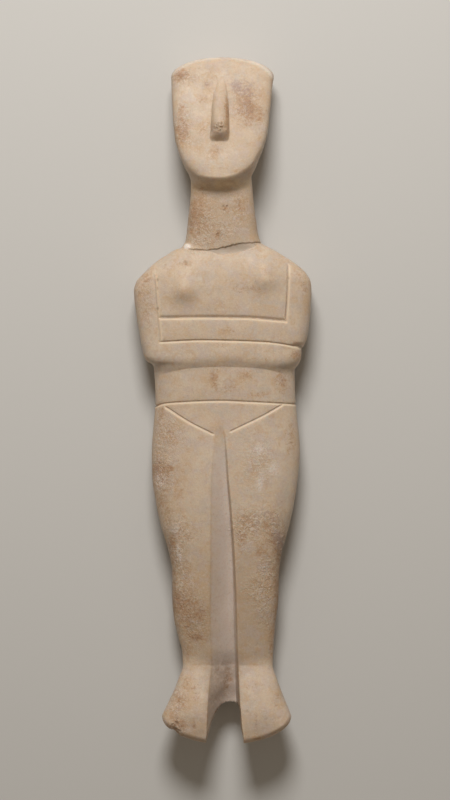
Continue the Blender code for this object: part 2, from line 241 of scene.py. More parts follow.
# Incised lines, from left to right or upwards: points (across, distance from crown)
CHIN_LINE = (
    (-24.5, 63.5),
    (-17.5, 69.9),
    (-3.0, 71.8),
    (5.2, 70.2),
    (15.0, 63.8),
    (18.6, 57.6),
    (21.6, 53.0),
    (24.2, 46.0),
    (27.5, 34.0),
)
THROAT_LINE = (
    (-25.0, 76.0),
    (-14.0, 78.8),
    (0.0, 79.6),
    (10.0, 78.4),
    (17.0, 75.0),
    (21.0, 68.0),
    (28.0, 56.0),
)
BREAK_LINE = (
    (-24.0, 111.6),
    (-18.4, 113.0),
    (-10.5, 113.2),
    (-3.1, 112.2),
    (2.5, 110.8),
    (8.0, 109.4),
    (20.5, 108.6),
)
FOREARM_TOP = ((-37.6, 153.0), (-12.0, 152.6), (10.0, 152.8), (34.8, 154.6))
FOREARM_PARTING = ((-37.6, 166.7), (-14.0, 165.7), (22.7, 166.7), (33.9, 168.0), (46.0, 170.4))
FOREARM_UNDERSIDE = (
    (-44.0, 178.3),
    (-38.8, 180.4),
    (-26.0, 180.4),
    (-2.0, 178.9),
    (10.0, 179.4),
    (23.6, 180.9),
    (35.6, 181.7),
    (42.0, 181.3),
)
BELLY_TOP = (
    (-42.0, 188.0),
    (-34.0, 184.8),
    (-20.0, 182.0),
    (-2.0, 181.2),
    (18.0, 181.9),
    (34.0, 185.2),
    (42.0, 189.0),
)
LEFT_ARM_LINE = ((-37.6, 166.7), (-38.4, 156.5), (-39.3, 144.0), (-40.5, 128.0))
RIGHT_ARM_LINE = ((35.2, 154.9), (36.4, 135.1), (36.7, 122.7))
WAIST_LINE = ((-40.5, 204.2), (-36.3, 202.7), (-26.0, 201.8), (-2.0, 200.9), (9.9, 201.4), (41.0, 202.9))
LEFT_GROIN_LINE = ((-34.1, 204.6), (-20.9, 213.0), (-7.2, 219.9))
RIGHT_GROIN_LINE = ((3.5, 218.5), (23.6, 208.8), (33.0, 203.4))
SPINE_LINE = ((-0.5, 206.0), (-1.0, 160.0), (-1.0, 122.0))

# Nose: (distance from crown, left side, right side) and its share of the full height
NOSE_HEIGHT = 7.0
NOSE_SIDES = (
    (12, -4.2, -0.6),
    (17.6, -5.0, 0.8),
    (22.4, -6.6, 1.5),
    (28.3, -7.4, 2.1),
    (37.0, -8.0, 2.3),
    (45.7, -8.5, 2.5),
    (47.8, -9.0, 2.5),
    (50.6, -7.7, 1.6),
)
NOSE_RISE = (
    (12, 0.0),
    (19.2, 0.16),
    (30.9, 0.55),
    (42.0, 1.0),
    (43.6, 0.98),
    (44.8, 0.88),
    (49.6, 0.12),
    (50.4, 0.0),
)
NOSE_SQUARENESS = 2.2
NOSE_FULLNESS = 0.75

# Breasts: places, height, and the radii across, above and below
BREASTS = ((-24.0, 136.7), (23.2, 130.0))
BREAST_HEIGHT = 3.0
BREAST_RADII = (6.8, 11.0, 6.5)

# Channel between the legs: edges, share of the full depth, and widths of the walls down the legs
CHANNEL_DEPTH = 8.0
CHANNEL_EDGES = (
    (214, -3.6, -1.6),
    (223.7, -6.3, 0.6),
    (245.8, -8.3, 2.2),
    (265.3, -8.6, 4.0),
    (300, -8.8, 6.2),
    (322.5, -9.2, 7.2),
    (355.7, -8.4, 8.1),
    (366, -9.4, 8.5),
    (375, -10.1, 8.9),
    (400, -11.3, 10.8),
)
CHANNEL_RISE = (
    (214, 0.0),
    (224, 0.14),
    (240, 0.45),
    (264, 0.8),
    (300, 1.0),
    (346, 0.87),
    (356, 1.0),
    (366, 1.5),
    (376, 2.0),
    (400, 2.0),
)
CHANNEL_LEFT_WALL = (
    (214, 4.0),
    (245, 8.0),
    (300, 11.5),
    (346, 12.5),
    (366, 10.5),
    (376, 8.0),
    (400, 7.0),
)
CHANNEL_RIGHT_WALL = ((214, 1.2), (262, 1.3), (293, 1.8), (328, 2.8), (356, 2.4), (400, 2.2))
CHANNEL_FOOT = 0.25
CHANNEL_WALL_SHARE = 0.8
NARROWEST_SHARE = 0.05
WEB_THICKNESS = 3.0

# Cleft of buttocks and legs behind: depth, and its half width and share of the depth down the legs
CLEFT_DEPTH = 4.5
CLEFT_HALF_WIDTH = ((208, 1.2), (240, 3.0), (300, 3.6), (400, 4.5))
CLEFT_RISE = ((208, 0.0), (222, 0.45), (245, 0.85), (262, 1.0), (345, 1.0), (362, 0.75), (382, 0.0))

# Opening between the feet: points (across, distance from crown)
FOOT_ARCH = (
    (11.4, 408.0),
    (10.8, 399.0),
    (9.2, 389.7),
    (8.7, 381.6),
    (7.5, 378.2),
    (5.6, 377.0),
    (2.8, 376.6),
    (-0.4, 377.3),
    (-4.0, 380.6),
    (-6.6, 385.0),
    (-9.0, 392.0),
    (-11.0, 399.4),
    (-12.6, 408.0),
)
ARCH_ROUNDING = 0.9
ARCH_CUTTER_HEIGHT = 0.080

# How far above their lines the chin and the forearms begin to turn under
CHIN_TURN = -0.8
FOREARM_TURN = -4.8

# Chords for each point of a drawn line, and the distance from it beyond which nothing is measured
CHORDS_PER_POINT = 8
LINE_REACH = 6.0
ARCH_REACH = 3.0

# Incised lines of the front: (line, depth, width of the steep wall, width of the gentle wall)
FRONT_LINES = (
    (FOREARM_TOP, 0.85, 2.0, 1.0),
    (FOREARM_PARTING, 0.8, 0.7, 1.0),
    (RIGHT_ARM_LINE, 0.9, 0.6, 1.15),
    (LEFT_ARM_LINE, 0.5, 0.9, 1.1),
    (WAIST_LINE, 0.75, 0.8, 0.95),
    (LEFT_GROIN_LINE, 0.65, 0.55, 1.3),
    (RIGHT_GROIN_LINE, 0.6, 0.75, 1.1),
)
BACK_LINES = ((SPINE_LINE, 1.1, 1.7, 1.7), (WAIST_LINE, 0.9, 1.0, 1.0), (BREAK_LINE, 0.7, 0.6, 0.6))

# Surfaces that lie back from their incised lines: depth at the line, and the length over which it fades
CHEST_STEP = (0.8, 9.0)
BELLY_STEP = (0.30, 6.0)
TRIANGLE_STEP = (0.25, 5.0)
LINE_BOTTOM = 0.6

# Where these surfaces begin or end: a place, and the length over which they fade there
CHEST_BEGINS = (116, 12)
BELLY_BEGINS = (182, 8)
TRIANGLE_SIDE_ENDS = (35, 5)
TRIANGLE_FOOT_ENDS = (217, 6)

# Rounding of the two forearms, and where each begins at the left and ends at the right
FOREARM_PILLOW = 0.28
UPPER_PILLOW_BEGINS = (-38.4, 0.8)
UPPER_PILLOW_ENDS = (37, 9)
LOWER_PILLOW_BEGINS = (-47, 10)
LOWER_PILLOW_ENDS = (47, 6)

# The mended break: the neck's overhang, the gap (depth, width above, width below), the sunken fill below it
# and the lump at its end. The raggedness is noise, as (size, height) layers
BREAK_STEP = (0.55, 3.0)
BREAK_GAP = (0.75, 0.35, 0.5)
FILL_EDGE = ((-10.2, 113.7), (-3.1, 115.8), (4.3, 115.2), (11.0, 113.9), (15.4, 112.2), (18.1, 110.8))
FILL_DEPTH = 0.75
FILL_REACH = 5.9
FILL_SIDES = (-10.2, 18.1)
FILL_SLOPE = 0.5
FILL_RAGGEDNESS = 1.2
BREAK_RAGGEDNESS = ((1.3, 0.35), (0.6, 0.2))
FILL_LUMP = (-22.0, 111.0, 2.5, 1.9, 1.1)

# Elbow above the hand at the right: a dark wedge between them
ELBOW_WEDGE = (42.8, 168.7, 3.4, 1.15, 1.5)

# Breaks and pits: (across, distance from crown, radius across, radius along, depth)
SCOOPS = (
    (-28.2, 388.4, 1.4, 1.1, 0.75),
    (-30.8, 390.0, 1.2, 0.9, 0.5),
    (-26.6, 392.9, 1.1, 0.9, 0.5),
    (-27.6, 392.0, 4.4, 3.4, 0.45),
    (-4.1, 104.2, 0.8, 1.3, 0.3),
    (1.2, 87.9, 0.9, 0.6, 0.5),
    (-0.9, 88.0, 0.7, 0.7, 0.4),
    (-0.4, 90.2, 0.8, 0.6, 0.45),
    (-22.8, 120.3, 1.6, 0.9, 0.3),
    (-39.4, 130.9, 0.6, 1.1, 0.5),
    (-39.3, 136.2, 0.5, 1.2, 0.4),
    (-39.1, 147.6, 0.6, 1.0, 0.5),
    (36.9, 129.6, 0.6, 0.9, 0.4),
    (29.9, 378.4, 0.9, 0.7, 0.25),
    (-17.9, 389.8, 0.7, 2.6, 0.3),
    (12.8, 381.5, 0.8, 1.0, 0.2),
)

# Crumbly floor of the breaks and pits, as (size, height) layers of noise
CHIP_CRUMBS = ((0.7, 0.35),)

# Notch in the toes' edge at the left: (across, half width, depth), and where it begins
TOE_NOTCH = (-29.4, 2.2, 1.5)
TOE_NOTCH_BEGINS = (386.0, 5)

# Rough, weathered stone: patches as for the stains below, and its humps as (size, height) layers of noise
WORN_PATCHES = (
    (20.0, 272.0, 13.0, 8.0, 0, 0.9),
    (32.0, 283.0, 6.0, 15.0, 18, 1.0),
    (26.0, 300.0, 6.0, 11.0, 25, 0.9),
    (20.0, 311.0, 8.0, 7.0, 0, 0.8),
    (11.0, 277.0, 7.0, 10.0, 0, 0.8),
    (24.0, 324.0, 7.0, 12.0, 0, 0.6),
    (-36.5, 243.0, 7.0, 14.0, 0, 0.9),
    (-28.0, 276.0, 10.0, 7.0, -20, 0.9),
    (-28.0, 291.0, 4.0, 10.0, 10, 1.0),
    (-26.0, 312.0, 7.0, 18.0, 0, 0.7),
    (-18.0, 330.0, 9.0, 15.0, 0, 0.6),
    (-33.0, 220.0, 9.0, 10.0, 0, 0.7),
    (20.0, 236.0, 10.0, 14.0, 0, 0.6),
    (13.0, 29.0, 9.0, 12.0, 15, 0.6),
    (-24.5, 42.0, 5.0, 11.0, 0, 0.9),
    (-25.0, 12.0, 8.0, 4.5, 0, 0.7),
    (-14.0, 98.0, 8.0, 15.0, 0, 0.8),
    (8.0, 90.0, 9.0, 10.0, 0, 0.6),
    (-2.0, 103.0, 9.0, 6.0, 0, 0.6),
    (-28.0, 376.0, 6.0, 9.0, 0, 0.7),
    (-28.0, 391.0, 6.0, 4.5, 0, 1.0),
    (-46.0, 140.0, 7.0, 16.0, 0, 0.3),
)
WORN_RELIEF = 0.15
WORN_HUMPS = ((1.25, 1.0), (0.75, 0.6))

# Worn tip of the nose: place, radii, how much is gone and how rough the break is
NOSE_BREAK = (-3.2, 42.2, 4.2, 2.9, 0.8, 1.0)
NOSE_CRUMBS = ((1.1, 1.0), (0.55, 0.4))

# Uneven surface that hand work and burial leave, as (size, height) layers of noise, and its small pits
HAND_WAVES = ((14.0, 0.16), (5.0, 0.07), (1.6, 0.022))
PIT_SIZE = 1.1
PIT_THRESHOLD = 0.80
PIT_DEPTH = 0.9

# Flat tops with a clear edge are cut from mounds: how much a mound is raised, and then lowered
NOSE_BREAK_EDGE = (1.6, 0.3)
CHIP_EDGE = (1.35, 0.2)
LUMP_EDGE = (2.6, 0.8)

# Area that the noise covers, along and across, and the seed of each of its uses
NOISE_ALONG = (-20, 440)
NOISE_ACROSS = (-70, 90)
NOSE_SEED = 11
BREAK_SEED = 21
CHIP_SEED = 31
FRONT_SEED = 41
WORN_SEED = 51
BACK_SEED = 61


def through(points, column=1):
    """A smooth curve through the points of a table, which doesn't swing past any of them."""
    table = np.array(points, float)
    places, values = table[:, 0], table[:, column]
    gaps = np.diff(places)
    rises = np.diff(values) / gaps
    slopes = np.zeros(len(places))
    slopes[0], slopes[-1] = rises[0], rises[-1]
    for i in range(1, len(rises)):
        if rises[i - 1] * rises[i] > 0:
            before, after = 2 * gaps[i] + gaps[i - 1], gaps[i] + 2 * gaps[i - 1]
            slopes[i] = (before + after) / (before / rises[i - 1] + after / rises[i])

    def curve(place):
        inside = np.clip(place, places[0], places[-1])
        i = np.clip(np.searchsorted(places, inside, side="right") - 1, 0, len(gaps) - 1)
        t = (inside - places[i]) / gaps[i]
        start = (1 + 2 * t) * (1 - t) ** 2 * values[i] + t * (1 - t) ** 2 * gaps[i] * slopes[i]
        end = t * t * (3 - 2 * t) * values[i + 1] + t * t * (t - 1) * gaps[i] * slopes[i + 1]
        return start + end

    return curve


def eased(share):
    """0 to 1 along an S-shaped curve."""
    t = np.clip(share, 0, 1)
    return t * t * (3 - 2 * t)


def starting(place, begins_over):
    """0 up to a place, rising to 1 over a length past it."""
    begins, length = begins_over
    return eased((place - begins) / length)


def ending(place, ends_over):
    """1 falling to 0 over a length up to a place."""
    ends, length = ends_over
    return eased((ends - place) / length)


def stripe(distance, half_width):
    """1 on a line, falling to 0 at a distance on both sides."""
    return eased(1 - np.abs(distance) / half_width)


def quarter_round(share):
    """0 to 1 along a quarter circle, steep at the start."""
    t = 1 - np.clip(share, 0, 1)
    return np.sqrt(np.clip(1 - t * t, 0, 1))


def smooth_chords(line):
    """Short chords along a smooth line through the points."""
    points = np.array(line, float)
    steps = np.concatenate([[0], np.cumsum(np.hypot(*np.diff(points, axis=0).T))])
    fine = np.linspace(0, steps[-1], CHORDS_PER_POINT * len(points))
    xs = through(np.column_stack([steps, points[:, 0]]))(fine)
    ys = through(np.column_stack([steps, points[:, 1]]))(fine)
    return xs, ys


def beside_line(across, along, line, reach=LINE_REACH):
    """Distance of each place to a line, above zero below it or right of it. Far places get the reach."""
    xs, ys = smooth_chords(line)
    near = (across > xs.min() - reach) & (across < xs.max() + reach)
    near &= (along > ys.min() - reach) & (along < ys.max() + reach)
    px, py = across[near], along[near]
    distance = np.full(px.shape, reach)
    side = np.ones(px.shape)
    for x0, y0, x1, y1 in zip(xs[:-1], ys[:-1], xs[1:], ys[1:]):
        dx, dy = x1 - x0, y1 - y0
        t = np.clip(((px - x0) * dx + (py - y0) * dy) / (dx * dx + dy * dy), 0, 1)
        away = np.hypot(px - x0 - t * dx, py - y0 - t * dy)
        closer = away < distance
        distance = np.where(closer, away, distance)
        side = np.where(closer, np.sign(dx * (py - y0) - dy * (px - x0)), side)
    result = np.full(np.shape(across), reach)
    result[near] = distance * side
    return result


def groove(across, along, line, depth, steep, gentle):
    """Depth of an incised line with one steep wall and one gentle wall, rounded at the bottom."""
    beside = beside_line(across, along, line)
    share = np.abs(beside) / np.where(beside > 0, gentle, steep)
    return depth * eased(1 - share)


def mound(across, along, x, y, radius_across, radius_along):
    """1 at a place, falling off to 0 around it."""
    return np.exp(-(((across - x) / radius_across) ** 2) - ((along - y) / radius_along) ** 2)


def flat_topped(hill, edge):
    """A mound with a flat top and a clear edge."""
    raised, lowered = edge
    return eased(raised * hill - lowered)


def lattice_noise(across, along, size, seed):
    """Smooth noise between -1 and 1 with waves about twice as long as the size."""
    shape = [int((high - low) / size) + 4 for low, high in (NOISE_ALONG, NOISE_ACROSS)]
    grid = np.random.default_rng(seed).uniform(-1, 1, shape)
    u, v = (along - NOISE_ALONG[0]) / size, (across - NOISE_ACROSS[0]) / size
    i, j = np.floor(u).astype(int), np.floor(v).astype(int)
    s, t = eased(u - i), eased(v - j)
    top = grid[i, j] * (1 - t) + grid[i, j + 1] * t
    bottom = grid[i + 1, j] * (1 - t) + grid[i + 1, j + 1] * t
    return top * (1 - s) + bottom * s


def layered_noise(across, along, layers, seed):
    """Noise of several sizes and heights together."""
    parts = [high * lattice_noise(across, along, size, seed + i) for i, (size, high) in enumerate(layers)]
    return sum(parts)


def line_height(across, line):
    """Distance from the crown at which a line that runs across the figure is crossed."""
    return through(line)(across)


def line_place(along, line):
    """Place across at which a line that runs up the figure is crossed."""
    return through([(y, x) for x, y in reversed(line)])(along)


def overhang(along, begins, ends):
    """1 before an overhanging edge, rounding over it to 0 where the surface below starts."""
    return 1 - np.clip((along - begins) / (ends - begins), 0, 1) ** 2


def front_height(across, along):
    """Height of the front above the ground, before the nose, breasts and channel."""
    underside = line_height(across, FOREARM_UNDERSIDE)
    above_forearm = overhang(along, underside + FOREARM_TURN, line_height(across, BELLY_TOP))
    body = through(LEG_HEIGHT)(along) * (1 - above_forearm) + through(CHEST_HEIGHT)(along) * above_forearm
    chin = line_height(across, CHIN_LINE)
    face = 1 - eased((along - chin - CHIN_TURN) / (line_height(across, THROAT_LINE) - chin - CHIN_TURN))
    return body * (1 - face) + through(FACE_HEIGHT)(along) * face


def nose(across, along):
    """Height of the nose above the face: a long ridge with a slanting underside and a broken tip."""
    left, right = through(NOSE_SIDES)(along), through(NOSE_SIDES, 2)(along)
    aside = np.abs(across - (left + right) / 2) / ((right - left) / 2)
    section = (1 - np.minimum(aside, 1) ** NOSE_SQUARENESS) ** NOSE_FULLNESS
    ridge = NOSE_HEIGHT * through(NOSE_RISE)(along) * section
    x, y, radius_across, radius_along, gone, rough = NOSE_BREAK
    broken = flat_topped(mound(across, along, x, y, radius_across, radius_along), NOSE_BREAK_EDGE)
    crumbs = layered_noise(across, along, NOSE_CRUMBS, NOSE_SEED)
    return ridge - broken * np.minimum(ridge, gone + rough * crumbs)


def breasts(across, along):
    """Two low mounds, steeper below than above."""
    total = np.zeros(np.shape(across))
    aside, above, below = BREAST_RADII
    for x, y in BREASTS:
        total += mound(across, along, x, y, aside, np.where(along > y, below, above))
    return BREAST_HEIGHT * total


def from_channel_edges(across, along):
    """Distances of each place from the left and the right edge of the channel between the legs."""
    return across - through(CHANNEL_EDGES)(along), through(CHANNEL_EDGES, 2)(along) - across


def leg_channel(across, along):
    """Depth of the channel between the legs in front, with a slanting left wall and a steep right one."""
    from_left, from_right = from_channel_edges(across, along)
    left_wall, right_wall = through(CHANNEL_LEFT_WALL)(along), through(CHANNEL_RIGHT_WALL)(along)
    widest = CHANNEL_WALL_SHARE * (from_left + from_right) / (left_wall + right_wall)
    fit = np.clip(widest, NARROWEST_SHARE, 1)
    to_floor = 1 - from_left / (left_wall * fit)
    left = np.clip(1 - (to_floor + np.hypot(to_floor, CHANNEL_FOOT)) / 2, 0, 1)
    walls = left * eased(from_right / (right_wall * fit))
    return CHANNEL_DEPTH * through(CHANNEL_RISE)(along) * walls


def back_cleft(across, along):
    """Depth of the cleft that parts buttocks and legs behind."""
    aside = np.abs(across) / through(CLEFT_HALF_WIDTH)(along)
    return CLEFT_DEPTH * through(CLEFT_RISE)(along) * eased(1 - aside)


def fading(distance, step):
    """How far a surface lies back at a distance from its line."""
    depth, length = step
    return depth * np.exp(-np.maximum(distance, 0) / length)


def past_line(distance):
    """0 before a line and 1 past it, changing at the bottom of its groove."""
    return eased(0.5 + distance / LINE_BOTTOM)


def lying_back(across, along):
    """Depth by which chest, belly and triangle lie behind the arms and thighs next to them."""
    above_arm = line_height(across, FOREARM_TOP) - along
    from_left = across - line_place(along, LEFT_ARM_LINE)
    from_right = line_place(along, RIGHT_ARM_LINE) - across
    depth, length = CHEST_STEP
    chest = np.maximum(fading(above_arm, CHEST_STEP), fading(from_right, (depth, length / 2)))
    chest = np.maximum(chest, fading(from_left, (depth / 2, length / 2)))
    chest = chest * past_line(above_arm) * past_line(from_left) * past_line(from_right)
    chest = chest * starting(along, CHEST_BEGINS)
    above_waist = line_height(across, WAIST_LINE) - along
    belly = fading(above_waist, BELLY_STEP) * past_line(above_waist) * starting(along, BELLY_BEGINS)
    in_triangle = np.minimum(
        line_height(across, LEFT_GROIN_LINE) - along,
        line_height(across, RIGHT_GROIN_LINE) - along,
    )
    triangle = fading(in_triangle, TRIANGLE_STEP) * past_line(in_triangle) * past_line(-above_waist)
    triangle = triangle * ending(np.abs(across), TRIANGLE_SIDE_ENDS) * ending(along, TRIANGLE_FOOT_ENDS)
    return chest + belly + triangle


def forearm_pillows(across, along):
    """Height of the two forearms' rounding between their incised lines."""
    top, parting = line_height(across, FOREARM_TOP), line_height(across, FOREARM_PARTING)
    underside = line_height(across, FOREARM_UNDERSIDE)
    upper = np.clip((along - top) / (parting - top), 0, 1)
    lower = np.clip((along - parting) / (underside - parting), 0, 1)
    upper = 1 - (2 * upper - 1) ** 2
    lower = 1 - (2 * lower - 1) ** 2
    upper = upper * starting(across, UPPER_PILLOW_BEGINS) * ending(across, UPPER_PILLOW_ENDS)
    lower = lower * starting(across, LOWER_PILLOW_BEGINS) * ending(across, LOWER_PILLOW_ENDS)
    return FOREARM_PILLOW * (upper + lower)


def in_fill(across, beside, least=0.0):
    """Where the fill of the mended break can lie, from the distance beside the break."""
    left, right = FILL_SIDES
    return (beside > least) & (beside < FILL_REACH) & (across > left) & (across < right)


def mended_break(across, along):
    """Depth of the break at the neck: a gap, the chest's step down from the neck, and the sunken fill."""
    ragged = layered_noise(across, along, BREAK_RAGGEDNESS, BREAK_SEED)
    beside = beside_line(across, along + ragged, BREAK_LINE)
    depth, above, below = BREAK_GAP
    gap = depth * eased(1 - np.abs(beside) / np.where(beside > 0, below, above))
    step = np.where(beside < FILL_REACH, fading(beside, BREAK_STEP), 0) * past_line(beside)
    past_edge = along + FILL_RAGGEDNESS * ragged - line_height(across, FILL_EDGE)
    fill = np.where(in_fill(across, beside), FILL_DEPTH * eased(-past_edge / FILL_SLOPE), 0)
    return np.maximum(gap, np.maximum(step, fill))


def scoops(across, along):
    """Depth of the chips and pits."""
    depth = np.zeros(np.shape(across))
    crumbs = 1 + layered_noise(across, along, CHIP_CRUMBS, CHIP_SEED)
    for x, y, radius_across, radius_along, deep in SCOOPS:
        chip = mound(across, along, x, y, radius_across, radius_along)
        depth += deep * crumbs * flat_topped(chip, CHIP_EDGE)
    x, y, radius_across, radius_along, deep = ELBOW_WEDGE
    return depth + deep * mound(across, along, x, y, radius_across, radius_along)


def arch_rounding(across, along):
    """How far the surface draws back next to the opening between the feet."""
    away = np.abs(beside_line(across, along, FOOT_ARCH, ARCH_REACH))
    return ARCH_ROUNDING * (1 - quarter_round(away / ARCH_ROUNDING))


def patch_cover(across, along, patches):
    """How much of each place the patches cover, from 0 to 1."""
    bare = np.ones(np.shape(across))
    for x, y, radius_across, radius_along, turn, strength in patches:
        cos, sin = np.cos(np.radians(turn)), np.sin(np.radians(turn))
        u = (across - x) * cos - (along - y) * sin
        v = (across - x) * sin + (along - y) * cos
        bare *= 1 - strength * np.exp(-((u / radius_across) ** 2) - (v / radius_along) ** 2)
    return 1 - bare


def weathering(across, along):
    """Small humps and hollows where the stone is weathered."""
    humps = layered_noise(across, along, WORN_HUMPS, WORN_SEED)
    return WORN_RELIEF * humps * patch_cover(across, along, WORN_PATCHES)


def handwork(across, along, seed):
    """The uneven surface that abrasion by hand and burial leave, in millimetres."""
    pits = lattice_noise(across, along, PIT_SIZE, seed + len(HAND_WAVES)) - PIT_THRESHOLD
    return layered_noise(across, along, HAND_WAVES, seed) - PIT_DEPTH * np.maximum(pits, 0)


def front_carving(across, along):
    """How far the front lies back from the plain skin, in millimetres."""
    depth = np.max([groove(across, along, *line) for line in FRONT_LINES], axis=0)
    depth += lying_back(across, along) + mended_break(across, along) + scoops(across, along)
    depth += arch_rounding(across, along)
    x, y, radius_across, radius_along, high = FILL_LUMP
    lump = high * mound(across, along, x, y, radius_across, radius_along)
    raised = lump + forearm_pillows(across, along)
    raised += handwork(across, along, FRONT_SEED) + weathering(across, along)
    return depth - raised


def back_carving(across, along):
    """How far the back lies in from the plain skin, in millimetres."""
    depth = np.max([groove(across, along, *line) for line in BACK_LINES], axis=0)
    return depth + arch_rounding(across, along) - handwork(across, along, BACK_SEED)


def rows_along():
    """Distances from the crown of the sections, closer together where the carving is fine."""
    share = 1
    rows = [CROWN_ROUNDING]
    while rows[-1] < TOE_FAN_TIP - TOE_ROUNDING:
        fine = any(low < rows[-1] < high for low, high in FINE_ROWS)
        rows.append(rows[-1] + (FINE_ROW_STEP if fine else ROW_STEP) / share)
    turn = 1 - np.cos(np.linspace(0, np.pi / 2, END_ROWS))
    middle = np.array(rows[1:-2])
    return np.concatenate([CROWN_ROUNDING * turn, middle, TOE_FAN_TIP - TOE_ROUNDING * turn[::-1]])


def columns_across():
    """Places across the sections from -1 to 1 and back, which are in front, and the places at the two ends.

    The front has more columns than the back. At the ends they close on the places that both have.
    """
    count = int(BACK_COLUMNS * (1))
    shared = np.linspace(-np.pi / 2, np.pi / 2, count + 1)
    fine = np.linspace(-np.pi / 2, np.pi / 2, FRONT_PER_BACK * count + 1)
    closing = shared[np.rint(np.arange(len(fine)) / FRONT_PER_BACK).astype(int)]
    back = shared[::-1][1:]
    on_front = np.arange(len(fine) + count) < len(fine)
    aside = np.sin(np.concatenate([fine, back]))
    return aside[None, :], on_front[None, :], np.sin(np.concatenate([closing, back]))[None, :]


def metres(across, along, height):
    """Drawn places and heights as points of the frame."""
    x = LOW.x + (across - np.array(OUTLINE)[:, 1].min()) * MM_ACROSS
    y = HIGH.y - along * MM_ALONG
    return np.stack(np.broadcast_arrays(x, y, LOW.z + height * MM_DEEP), axis=-1)


def plain_skin(start, aside, front):
    """Points of the whole surface before the carving, with their places on the drawing."""
    bow = CROWN_BOW * (1 - eased(start / CROWN_BOW_REACH))
    bow = bow - TOE_BOW * eased((start - TOE_FAN_TIP + TOE_BOW_REACH) / TOE_BOW_REACH)
    left, right = through(OUTLINE)(start + bow), through(OUTLINE, 2)(start + bow)
    across = (left + right) / 2 + (right - left) / 2 * aside
    along = start + bow * (1 - np.sqrt(np.clip(1 - aside * aside, 0, 1)))
    ends = quarter_round(start / CROWN_ROUNDING) * quarter_round((TOE_FAN_TIP - start) / TOE_ROUNDING)
    square = np.where(front, through(FRONT_SQUARENESS)(along), through(BACK_SQUARENESS)(along))
    fullness = (1 - np.abs(aside) ** square) ** (1 / square) * ends
    edge = through(EDGE_HEIGHT)(along)
    back = through(BACK_HEIGHT)(along)
    raised = front_height(across, along) + nose(across, along) + breasts(across, along)
    above = np.maximum(raised - leg_channel(across, along), back + WEB_THICKNESS)
    outer = np.where(front, above, back + back_cleft(across, along))
    return metres(across, along, edge + (outer - edge) * fullness), across, along


def outward(points):
    """Unit vectors that stand on the surface, pointing out."""
    down, round_about = np.gradient(points, axis=0), np.gradient(points, axis=1)
    stand = np.cross(round_about, down)
    return -stand / np.maximum(np.linalg.norm(stand, axis=-1, keepdims=True), SMALLEST_NORMAL)


def carved_skin():
    """The surface with its carving and wear, flat where it meets the ground."""
    start = rows_along()[:, None]
    aside, front, closing = columns_across()
    points, across, along = plain_skin(start, aside, front)
    depth = np.where(front, front_carving(across, along), back_carving(across, along))
    inside = starting(start, (0, END_MARGIN)) * ending(start, (TOE_FAN_TIP, END_MARGIN))
    points = points - outward(points) * (depth * inside * MM_DEEP)[..., None]
    points[..., 2] = np.maximum(points[..., 2], LOW.z)
    points[:, [0, -1]] = (points[:, :1] + points[:, -1:]) / 2
    points[[0, -1]], across[[0, -1]], along[[0, -1]] = plain_skin(start[[0, -1]], closing, front)
    x, half_width, notch = TOE_NOTCH
    nicked = notch * np.exp(-(((across - x) / half_width) ** 2)) * starting(along, TOE_NOTCH_BEGINS)
    points[..., 1] += nicked * MM_ALONG
    return points


def wrap_grid(points):
    """A closed mesh round the figure, from a grid with one vertex for each point of the surface."""
    rows, columns = points.shape[:2]
    sheet = bmesh.new()
    bmesh.ops.create_grid(sheet, x_segments=columns - 1, y_segments=rows - 1, size=1)
    mesh = bpy.data.meshes.new("stone_skin")
    sheet.to_mesh(mesh)
    sheet.free()
    flat = np.zeros(len(mesh.vertices) * 3, np.float32)
    mesh.vertices.foreach_get("co", flat)
    flat = flat.reshape(-1, 3)
    column = np.rint((flat[:, 0] + 1) / 2 * (columns - 1)).astype(int)
    row = np.rint((flat[:, 1] + 1) / 2 * (rows - 1)).astype(int)
    mesh.vertices.foreach_set("co", points[row, column].astype(np.float32).ravel())
    skin = bmesh.new()
    skin.from_mesh(mesh)
    bmesh.ops.remove_doubles(skin, verts=skin.verts, dist=WELD_DISTANCE)
    bmesh.ops.recalc_face_normals(skin, faces=skin.faces)
    skin.to_mesh(mesh)
    skin.free()
    return mesh


def new_object(name, mesh):
    thing = bpy.data.objects.new(name, mesh)
    bpy.context.scene.collection.objects.link(thing)
    return thing


def applied(thing):
    """The mesh of an object with its modifiers applied."""
    bpy.context.view_layer.update()
    graph = bpy.context.evaluated_depsgraph_get()
    mesh = bpy.data.meshes.new_from_object(thing.evaluated_get(graph))
    thing.modifiers.clear()
    return mesh


def foot_arch_cutter():
    """A tall block with the outline of the opening between the feet."""
    outline = list(zip(*smooth_chords(FOOT_ARCH)))
    block = bmesh.new()
    bmesh.ops.create_circle(block, cap_ends=True, segments=len(outline), radius=1)
    block.verts.ensure_lookup_table()
    for vertex, (across, along) in zip(block.verts, outline):
        vertex.co = metres(across, along, 0.0)
        vertex.co.z = LOW.z - ARCH_CUTTER_HEIGHT / 2
    raised = bmesh.ops.extrude_face_region(block, geom=block.faces[:])
    tops = [v for v in raised["geom"] if isinstance(v, bmesh.types.BMVert)]
    bmesh.ops.translate(block, verts=tops, vec=(0, 0, ARCH_CUTTER_HEIGHT))
    bmesh.ops.recalc_face_normals(block, faces=block.faces)
    mesh = bpy.data.meshes.new("foot_arch_cutter")
    block.to_mesh(mesh)
    block.free()
    return new_object("foot_arch_cutter", mesh)


